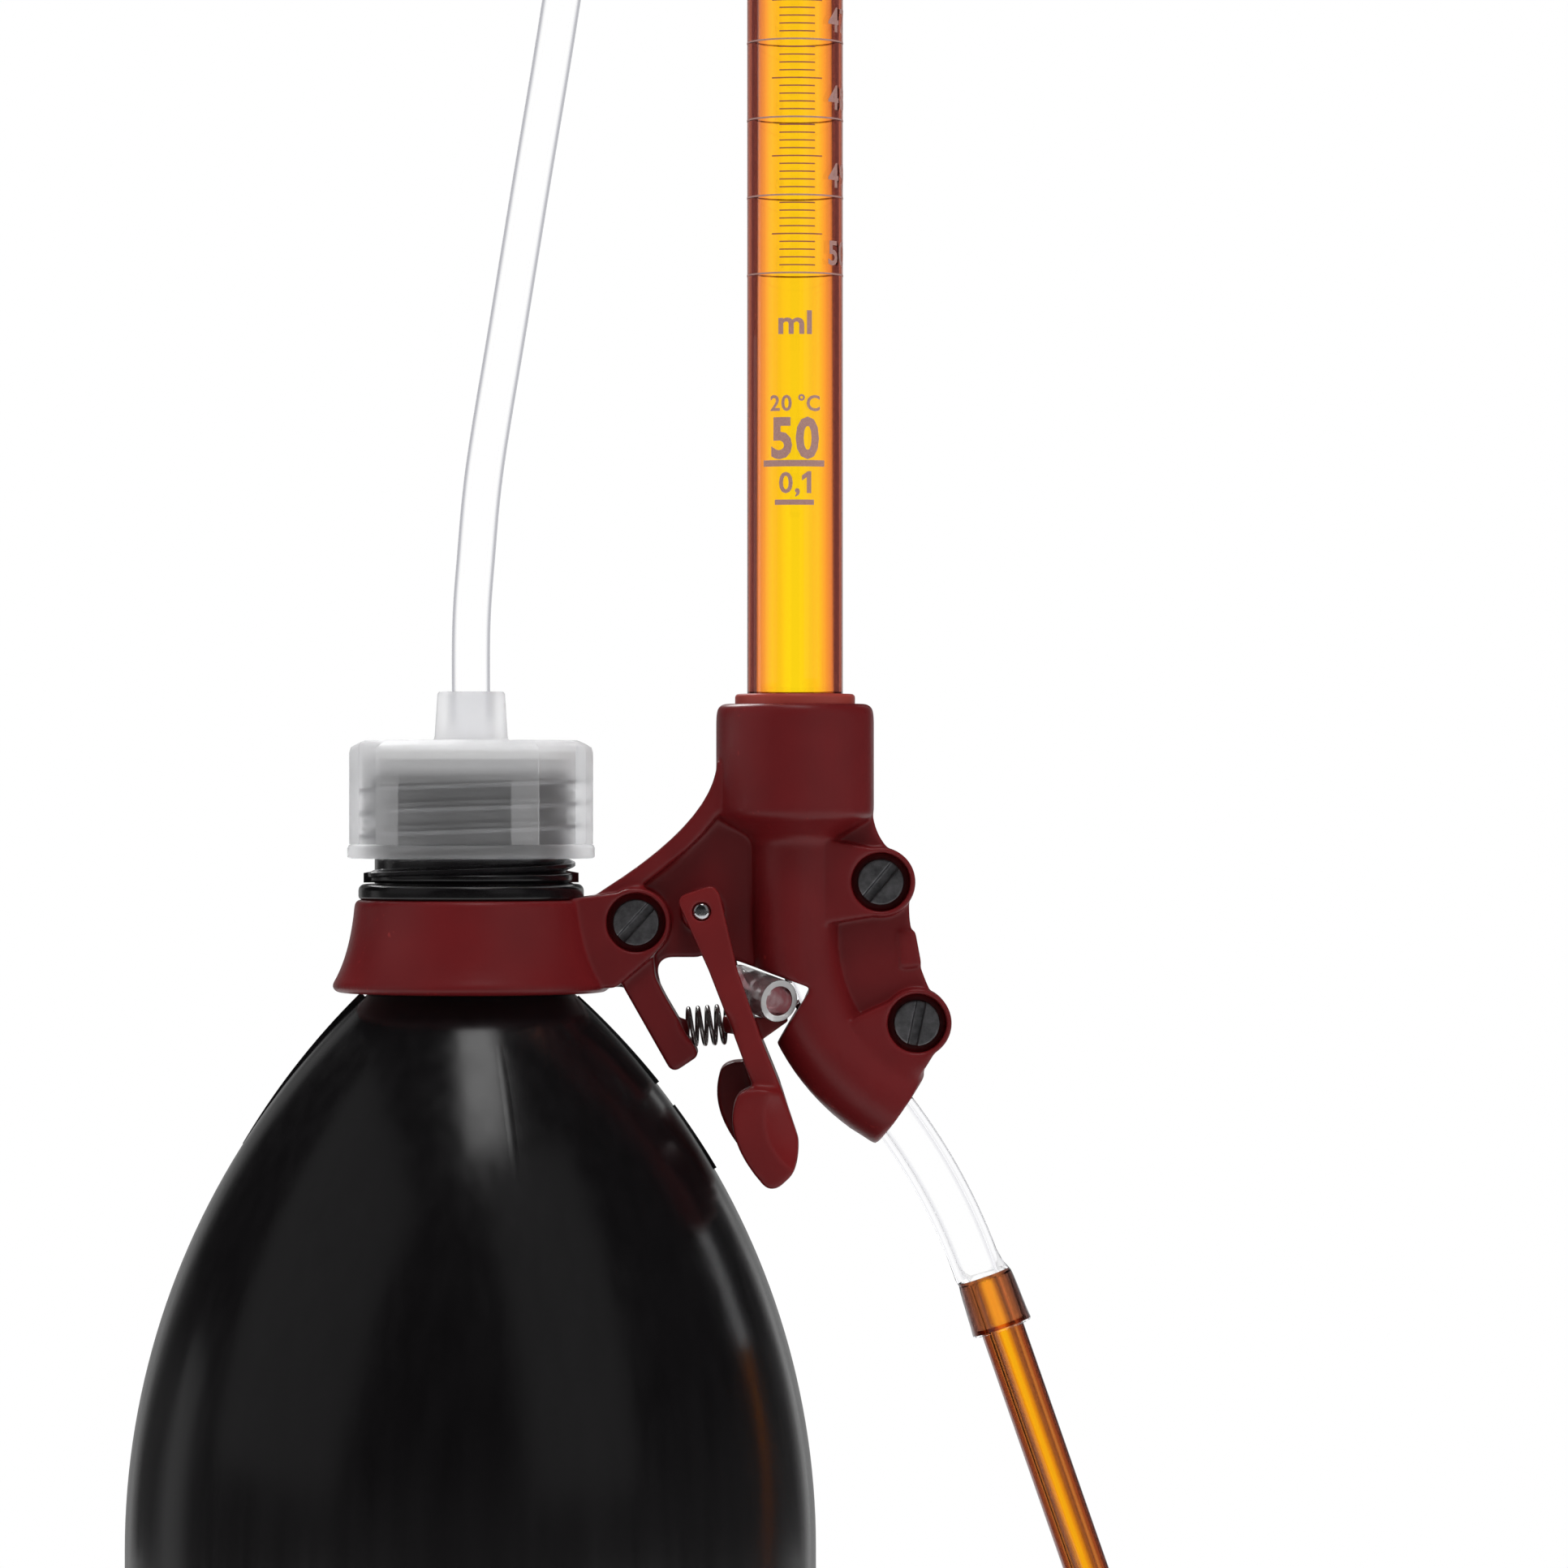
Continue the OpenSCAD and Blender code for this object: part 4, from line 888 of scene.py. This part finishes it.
def tube_outline():
    """Half section of the tube: down the outside to the stem's end, and up the bore."""
    n = 16
    taper = TAPER_Z - TAPER_FOOT_Z
    out = [(TUBE_R - 0.3, TUBE_TOP_Z)]
    out += [(TUBE_R, z) for z in np.linspace(TUBE_TOP_Z - 0.3, TAPER_Z, 40)]
    out += [(ease(TUBE_R, STEM_R, i / n), TAPER_Z - taper * i / n) for i in range(1, n + 1)]
    out += [(STEM_R, STEM_Z + 0.2), (STEM_R - 0.2, STEM_Z)]
    out += [(STEM_BORE_R + 0.1, STEM_Z), (STEM_BORE_R, STEM_Z + 0.2)]
    out += [(ease(TUBE_IN_R, STEM_BORE_R, i / n), TAPER_Z + 1 - taper * i / n) for i in range(n, -1, -1)]
    out += [(TUBE_IN_R, TUBE_TOP_Z - 0.2), (TUBE_IN_R + 0.2, TUBE_TOP_Z)]
    return out


verts, faces = lathe(tube_outline(), 128)
tube = put("tube_amber", verts, faces, [AMBER, AMBER_IN], "stand", ["burette_tube"], smooth=35,
           place=TUBE_PLACE)
bore_faces(tube, Vector((TUBE_X * MM, 0, 0)), Vector((0, 0, 1)))

# printed scale: places round the tube are arc lengths from its front
PRINT_R = TUBE_R + 0.012
PRINT_T = 0.03
MARK_Z = SCALE_FOOT_Z - 0.52
MARK_TURN = 0.3
ML_MARK_W = 0.22
HALF_MARK = (3.55, 0.19)
TENTH_MARK = (2.45, 0.18)
DIGIT_SIZE = 4.55
DIGIT_BOLD = 0.10
DIGIT_FROM = 4.95
DIGIT_UP = 1.27
DIGIT_GAP = 0.45
LETTER_GAP = 0.075
SPACE = 0.22
CUT_W = 0.4
# words below the scale: text, size, boldness, width, and how far their foot lies below the scale's
WORDS = (("ml", 4.4, 0.10, 1.15, 8.714), ("20 °C", 2.95, 0.06, 1.0, 19.124),
         ("50", 7.45, 0.26, 0.86, 25.370), ("0,1", 3.9, 0.08, 1.0, 30.191))
# bars under the words: from, to, how far below the scale's foot, and thickness
BARS = ((-4.6, 4.2, 26.246, 0.85), (-2.8, 2.6, 31.506, 0.7))


def strip(verts, faces, a0, a1, z, w):
    """A printed stroke round the tube, at a height and with a width."""
    full = a1 - a0 > 2 * math.pi * TUBE_R - 0.01
    n = max(2, int((a1 - a0) / 0.35))
    first = len(verts)
    top = PRINT_R + PRINT_T
    for i in range(n + 1):
        a = -math.pi / 2 + (a0 + (a1 - a0) * i / n) / TUBE_R
        for r, up in ((PRINT_R, -w / 2), (top, -w / 2), (top, w / 2), (PRINT_R, w / 2)):
            verts.append((TUBE_X + r * math.cos(a), r * math.sin(a), z + up))
    skin(faces, first, n + 1, 4, ends=not full)


def figure_one(size, bold):
    """Corners of a plain figure one with a flag."""
    w = 0.115 * size + 2 * bold
    h = 0.715 * size + bold
    left = 0.13 * size
    flag = -0.04 * size
    return [(left, -bold), (left + w, -bold), (left + w, h), (left + 0.25 * w, h),
            (flag, h - 0.15 * size), (flag, h - 0.15 * size - 1.1 * w), (left, h - 1.3 * w)]


def letter(ch, size, bold):
    c = bpy.data.curves.new("words", "FONT")
    c.body = ch
    c.size = size
    c.offset = bold
    c.resolution_u = 3
    c.fill_mode = "FRONT"
    o = bpy.data.objects.new("words", c)
    scene.collection.objects.link(o)
    mesh = evaluated(o)
    bpy.data.objects.remove(o)
    return mesh


def words(text, size, bold, wide=1.0):
    """Flat outline of printed figures as triangles cut into narrow upright strips."""
    bm = bmesh.new()
    pen = 0.0
    for ch in text:
        if ch == " ":
            pen += SPACE * size
            continue
        first = len(bm.verts)
        if ch == "1":
            bm.faces.new([bm.verts.new((x, y, 0)) for x, y in figure_one(size, bold)])
        else:
            mesh = letter(ch, size, bold)
            bm.from_mesh(mesh)
            bpy.data.meshes.remove(mesh)
        bm.verts.ensure_lookup_table()
        new = [bm.verts[i] for i in range(first, len(bm.verts))]
        left = min(v.co.x for v in new)
        bmesh.ops.translate(bm, vec=(pen - left, 0, 0), verts=new)
        pen = max(v.co.x for v in new) + LETTER_GAP * size
    bmesh.ops.scale(bm, vec=(wide, 1, 1), verts=bm.verts)
    xs = [v.co.x for v in bm.verts]
    x = min(xs) + CUT_W
    while x < max(xs):
        whole = bm.verts[:] + bm.edges[:] + bm.faces[:]
        bmesh.ops.bisect_plane(bm, geom=whole, plane_co=(x, 0, 0), plane_no=(1, 0, 0))
        x += CUT_W
    bmesh.ops.triangulate(bm, faces=bm.faces)
    bm.verts.index_update()
    out = [(v.co.x, v.co.y) for v in bm.verts], [[v.index for v in p.verts] for p in bm.faces]
    bm.free()
    return out


def wrapped(verts, faces, flat, start, foot):
    """Figures laid on the tube, from where they start round it and with the height of their foot."""
    points, triangles = flat
    first = len(verts)
    n = len(points)
    for r in (PRINT_R, PRINT_R + PRINT_T):
        for x, y in points:
            a = -math.pi / 2 + (start + x) / TUBE_R
            verts.append((TUBE_X + r * math.cos(a), r * math.sin(a), foot + y))
    edges = {}
    for t in triangles:
        faces.append([first + n + i for i in t])
        faces.append([first + i for i in t][::-1])
        for i in range(3):
            e = (t[i], t[(i + 1) % 3])
            if (e[1], e[0]) in edges:
                del edges[(e[1], e[0])]
            else:
                edges[e] = True
    for a, b in edges:
        faces.append((first + a, first + b, first + n + b, first + n + a))


verts, faces = [], []
lines, line_faces = [], []
digit = {str(i): words(str(i), DIGIT_SIZE, DIGIT_BOLD) for i in range(10)}
digit_w = {ch: max(p[0] for p in flat[0]) for ch, flat in digit.items()}
for i in range(10 * SCALE_ML + 1):
    z = MARK_Z + (10 * SCALE_ML - i) * ML_H / 10
    if i % 10 == 0:
        strip(verts, faces, 0, 2 * math.pi * TUBE_R, z, ML_MARK_W)
        x = DIGIT_FROM
        for ch in str(i // 10):
            wrapped(verts, faces, digit[ch], x, z + DIGIT_UP)
            x += digit_w[ch] + DIGIT_GAP
    else:
        half, w = TENTH_MARK if i % 5 else HALF_MARK
        strip(lines, line_faces, MARK_TURN - half, MARK_TURN + half, z, w)
for text, size, bold, wide, drop in WORDS:
    flat = words(text, size, bold, wide)
    xs = [p[0] for p in flat[0]]
    wrapped(verts, faces, flat, -(min(xs) + max(xs)) / 2, SCALE_FOOT_Z - drop)
for a0, a1, drop, w in BARS:
    strip(verts, faces, a0, a1, SCALE_FOOT_Z - drop, w)
put("scale_print", verts, faces, INK, "stand", smooth=20)
put("scale_lines", lines, line_faces, INK_LINE, "stand", smooth=20)

# outlet hose: down from the stem, round the channel, and back to the tip's lean
HOSE_TOP_Z = NECK_Z + 20.0
TURN_Z = NECK_Z + 10.8
TURN_R = 27.6
TURN_A = 39.0
RUN_L = 10.0
BACK_R = 77.0
FULLER = 0.54
GRIP_R = TIP_R + 1.1
GRIP_BORE_R = TIP_R + 0.1
GRIP_FROM = 1.2
GRIP_TO = 8.45
# the hose's end on the tip: place along it, how much slimmer than the grip, bore radius and extra width
HOSE_END = (
    (0.0, 0.97, HOSE_BORE_R, 0.405), (0.35, 0.80, HOSE_BORE_R, 0.32), (0.7, 0.63, HOSE_BORE_R, 0.21),
    (1.05, 0.49, HOSE_BORE_R + 0.05, 0.11), (1.4, 0.36, HOSE_BORE_R + 0.3, 0), (1.5, 0.33, GRIP_BORE_R, 0),
    (2.2, 0.24, GRIP_BORE_R, 0), (3.5, 0.16, GRIP_BORE_R, 0), (5.0, 0.1, GRIP_BORE_R, 0),
    (7.2, 0, GRIP_BORE_R, 0), (8.4, -0.1, GRIP_BORE_R, 0), (8.65, 0, GRIP_BORE_R + 0.02, 0),
    (8.7, 0.3, GRIP_BORE_R + 0.1, 0))


def radial(angle):
    return np.array((math.cos(math.radians(angle)), math.sin(math.radians(angle))))


def downward(angle):
    """Unit step down that leans to the right by an angle."""
    return np.array((math.sin(math.radians(angle)), -math.cos(math.radians(angle))))


turn_mid = np.array((TUBE_X + TURN_R, TURN_Z))
turn_end = turn_mid - TURN_R * radial(TURN_A)
back_start = turn_end + RUN_L * downward(TURN_A)
back_mid = back_start - BACK_R * radial(TURN_A)
tip_start = back_mid + BACK_R * radial(TIP_LEAN)
tip_dir = downward(TIP_LEAN)


def hose_rows():
    """The hose's middle, outer radius, bore radius and extra width, from its top down."""
    rows = [(np.array((TUBE_X, z)), HOSE_R, HOSE_BORE_R, 0) for z in (HOSE_TOP_Z, HOSE_TOP_Z - 5)]
    rows += [(turn_mid - TURN_R * radial(TURN_A * i / 18), HOSE_R, HOSE_BORE_R, 0) for i in range(19)]
    for i in range(1, 8):
        rows.append((turn_end + (back_start - turn_end) * i / 8, HOSE_R, HOSE_BORE_R, ease(0, FULLER, i / 8)))
    for i in range(16):
        a = TURN_A + (TIP_LEAN - TURN_A) * i / 16
        rows.append((back_mid + BACK_R * radial(a), HOSE_R, HOSE_BORE_R, FULLER))
    for along, slimmer, bore, more in HOSE_END:
        rows.append((tip_start + tip_dir * along, GRIP_R - slimmer, bore, more))
    return rows


line, outer, inner, fuller = zip(*hose_rows())
verts, faces, inside = pipe(line, outer, inner, 48, fuller)
hose = put("outlet_hose_clear", verts, faces, [SILICONE, CLEAR_IN, GRIP], "stand",
           ["outlet_hose"], smooth=40)
for i in inside:
    hose.data.polygons[i].material_index = 1
for p in hose.data.polygons:
    along = (np.array((p.center.x, p.center.z)) / MM - tip_start) @ tip_dir
    if p.material_index == 0 and GRIP_FROM < along < GRIP_TO:
        p.material_index = 2

# jet tip: its gripped end takes the clear material, because the grip tints the light
TIP_IN = 1.5
TIP_L = 66.0
TIP_GRIPPED = 6.4
JET_L = 20.0
JET_R = 1.0
JET_BORE_R = 0.4


def tip_outline():
    """Half section of the tip: down the outside to the jet's end, and up the bore."""
    n = 16
    jet = TIP_L - JET_L
    out = [(TIP_BORE_R + 0.15, 0), (TIP_R - 0.25, 0), (TIP_R, 0.25), (TIP_R, 2), (TIP_R, TIP_GRIPPED)]
    out += [(TIP_R, z) for z in np.linspace(TIP_GRIPPED + 0.2, jet - 1, 8)]
    out += [(ease(TIP_R, JET_R, i / n), jet + JET_L * i / n) for i in range(n + 1)]
    out += [(ease(TIP_BORE_R, JET_BORE_R, i / n), jet + JET_L * i / n) for i in range(n, -1, -1)]
    return out + [(TIP_BORE_R, 0.2)]


verts, faces = lathe(tip_outline(), 64)
tip_at = (Matrix.Translation((tip_start[0] * MM, 0, tip_start[1] * MM))
          @ Matrix.Rotation(math.radians(180 - TIP_LEAN), 4, "Y") @ Matrix.Translation((0, 0, TIP_IN * MM)))
tip = put("tip_amber", verts, faces, [TIP, AMBER_IN], "stand", ["jet_tip"], smooth=35,
          place=tip_at)
tip_axis = (tip_at.to_3x3() @ Vector((0, 0, 1))).normalized()
bore_faces(tip, tip_at.translation, tip_axis)
for p in tip.data.polygons:
    if (p.center - tip_at.translation).dot(tip_axis) < TIP_GRIPPED * MM:
        p.material_index = 1

# spacer sleeve: its axis passes through a point on the middle plane
SLEEVE_R = 2.9
SLEEVE_BORE_R = 2.0
SLEEVE_L = 11.6
SLEEVE_FRONT = 6.2
SLEEVE_MID = Vector((TUBE_X - 5.85, 0, NECK_Z + 0.15))
SLEEVE_DIR = Vector((-0.6, 1, 0.19))
sleeve_axis = SLEEVE_DIR.normalized()
sleeve_start = (SLEEVE_MID - SLEEVE_DIR * SLEEVE_FRONT / SLEEVE_DIR.y) * MM
sleeve = [(SLEEVE_BORE_R, 0, 0.12), (SLEEVE_R, 0, 0.25),
          (SLEEVE_R, SLEEVE_L, 0.25), (SLEEVE_BORE_R, SLEEVE_L, 0.12)]
verts, faces = lathe(rounded(sleeve, 4), 64)
turn = sleeve_axis.to_track_quat("Z", "Y").to_matrix().to_4x4()
spacer = put("spacer_clear", verts, faces, [SPACER, SPACER_BORE, SPACER_END], "stand",
             ["spacer_sleeve"], smooth=35, place=Matrix.Translation(sleeve_start) @ turn)
bore_faces(spacer, sleeve_start, sleeve_axis)
for p in spacer.data.polygons:
    if abs(p.normal.dot(sleeve_axis)) > 0.6:
        p.material_index = 2

# screws
mesh = softened("holder_screws", voxel=0.11, passes=4)
put_mesh("screws_slotted", mesh, DARK_STEEL, "stand", ["holder_screws"], smooth=60)

# lever pin with domed ends
PIN_R = 1.2
PIN_HALF = 8.8
PIN_DOME = [(0, 0), (0.7, 0.03), (1.05, 0.16), (PIN_R, 0.45)]
pin = [(r, up - PIN_HALF) for r, up in PIN_DOME] + [(r, PIN_HALF - up) for r, up in PIN_DOME[::-1]]
verts, faces = lathe(pin, 40)
put("pin_steel", verts, faces, BRIGHT_STEEL, "stand", ["lever_pin"], smooth=60,
    place=Matrix.Translation((PIN_X * MM, 0, PIN_Z * MM)) @ Matrix.Rotation(math.radians(90), 4, "X"))

# lever spring: from the holder's lug to the lever
WIRE_R = 0.3
WIRE_SIDES = 12
COIL_R = 2.5
CURLS = 4.5
CURL_STEPS = 32
SPRING_PLAY = 0.05
spring_a = np.array((PIN_X - 2.7, PIN_Z - 15.9))
spring_b = np.array((PIN_X + 3.8, PIN_Z - 15.4))
spring_l = float(np.linalg.norm(spring_b - spring_a))
spring_tilt = math.atan2(spring_b[1] - spring_a[1], spring_b[0] - spring_a[0])


def spring_mesh():
    """A round wire that climbs in curls and narrows at its two ends."""
    verts, faces = [], []
    rings = int(CURLS * CURL_STEPS)
    rise = spring_l - 2 * (WIRE_R + SPRING_PLAY)
    for i in range(rings + 1):
        t = i / rings
        a = 2 * math.pi * CURLS * t
        r = WIRE_R * min(1.0, 0.35 + min(i, rings - i) / 3)
        for k in range(WIRE_SIDES):
            b = 2 * math.pi * k / WIRE_SIDES
            q = COIL_R + r * math.cos(b)
            up = WIRE_R + SPRING_PLAY + rise * t + r * math.sin(b)
            verts.append((q * math.cos(a), q * math.sin(a), up))
    skin(faces, 0, rings + 1, WIRE_SIDES)
    return verts, faces


verts, faces = spring_mesh()
spring = put("spring_coil", verts, faces, SPRING_STEEL, "stand", ["lever_spring"], smooth=60,
             place=Matrix.Translation((spring_a[0] * MM, 0, spring_a[1] * MM))
             @ Matrix.Rotation(math.pi / 2 - spring_tilt, 4, "Y"))
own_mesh(spring)

# CAD nodes that keep their own mesh
for name, mat in (("holder_nuts", DARK_STEEL), ("zero_capillary", AMBER), ("head_seal", SEAL),
                  ("dip_tube", NATURAL), ("cap_liner", LINER)):
    nodes[name].data.materials.clear()
    nodes[name].data.materials.append(mat)

# floor
floor_paint, _, p = material("floor")
p.inputs["Base Color"].default_value = (0.86, 0.86, 0.86, 1)
p.inputs["Roughness"].default_value = 0.7
bpy.ops.mesh.primitive_plane_add(size=1.3, location=(0.04, 0.1, 0))
floor = bpy.context.object
floor.name = "floor"
floor.data.materials.append(floor_paint)

# world: white where it is seen, dim where it lights
SEEN_LEVEL = 1.0
LIGHT_LEVEL = 0.38


def background(t, strength=1.0):
    b = t.nodes.new("ShaderNodeBackground")
    b.inputs["Color"].default_value = (1, 1, 1, 1)
    b.inputs["Strength"].default_value = strength
    return b


def eased(t, value, from_min, from_max, to_min, to_max):
    m = t.nodes.new("ShaderNodeMapRange")
    m.interpolation_type = "SMOOTHSTEP"
    m.inputs["From Min"].default_value = from_min
    m.inputs["From Max"].default_value = from_max
    m.inputs["To Min"].default_value = to_min
    m.inputs["To Max"].default_value = to_max
    link(t, value, m.inputs["Value"])
    return m.outputs["Result"]


def either(t, operation, a, b):
    m = t.nodes.new("ShaderNodeMath")
    m.operation = operation
    link(t, a, m.inputs[0])
    link(t, b, m.inputs[1])
    return m.outputs["Value"]


def blended(t, fac, a, b):
    m = t.nodes.new("ShaderNodeMixShader")
    link(t, fac, m.inputs["Fac"])
    link(t, a, m.inputs[1])
    link(t, b, m.inputs[2])
    return m.outputs["Shader"]


def white_world():
    world = bpy.data.worlds.new("world")
    scene.world = world
    world.use_nodes = True
    t = world.node_tree
    t.nodes.clear()
    ray = t.nodes.new("ShaderNodeLightPath").outputs
    towards = t.nodes.new("ShaderNodeSeparateXYZ")
    link(t, t.nodes.new("ShaderNodeTexCoord").outputs["Generated"], towards.inputs["Vector"])
    # what gloss sees: bright low behind the object, dim above and in front of it
    behind = eased(t, towards.outputs["Y"], 0.80, 1.0, 0.06, 0.42)
    low = eased(t, towards.outputs["Z"], 0.04, 0.22, 1.0, 0.12)
    gloss = background(t)
    link(t, either(t, "MULTIPLY", behind, low), gloss.inputs["Strength"])
    soft = background(t, LIGHT_LEVEL)
    white = background(t, SEEN_LEVEL)
    lit = blended(t, ray["Is Glossy Ray"], soft.outputs["Background"], gloss.outputs["Background"])
    seen = either(t, "MAXIMUM", ray["Is Camera Ray"], ray["Is Transmission Ray"])
    out = t.nodes.new("ShaderNodeOutputWorld")
    link(t, blended(t, seen, lit, white.outputs["Background"]), out.inputs["Surface"])


white_world()

# lamps
AIM = (0.03, 0, 0.2)


def softbox(name, at, size_x, size_y, watts, mirrored=True):
    """A rectangular lamp aimed at the object. Gloss does not mirror it where mirrored is False."""
    d = bpy.data.lights.new(name, "AREA")
    d.shape = "RECTANGLE"
    d.size = size_x
    d.size_y = size_y
    d.energy = watts
    o = bpy.data.objects.new(name, d)
    o.location = at
    o.rotation_euler = (Vector(AIM) - Vector(at)).to_track_quat("-Z", "Y").to_euler()
    o.visible_glossy = mirrored
    scene.collection.objects.link(o)


# soft light for form
softbox("key", (0.15, -0.50, 1.35), 0.40, 0.40, 4.6, mirrored=False)
softbox("fill", (0.50, -1.00, 0.12), 0.5, 0.5, 1.0, mirrored=False)
softbox("side_left", (-0.95, -0.30, 0.30), 0.5, 0.7, 1.8, mirrored=False)
softbox("side_right", (1.00, -0.25, 0.35), 0.5, 0.7, 1.9, mirrored=False)
# dim panels and a top light that gloss mirrors
softbox("panel_left", (-0.83, -0.35, 0.71), 1.07, 1.07, 0.72)
softbox("panel_right", (0.60, -0.68, 0.71), 0.74, 1.07, 0.52)
softbox("panel_back", (-0.90, 0.38, 0.10), 0.25, 0.5, 0.12)
softbox("box_top", (0.048, -0.08, 1.20), 0.30, 0.92, 2.7)
# light from behind that draws the edges
softbox("rim_left", (-0.50, 0.90, 0.30), 0.20, 1.1, 0.12)
softbox("rim_right", (0.50, 1.00, 0.30), 0.10, 1.1, 0.25)
softbox("rim_top", (-0.30, 0.80, 0.95), 0.35, 0.35, 5.0)
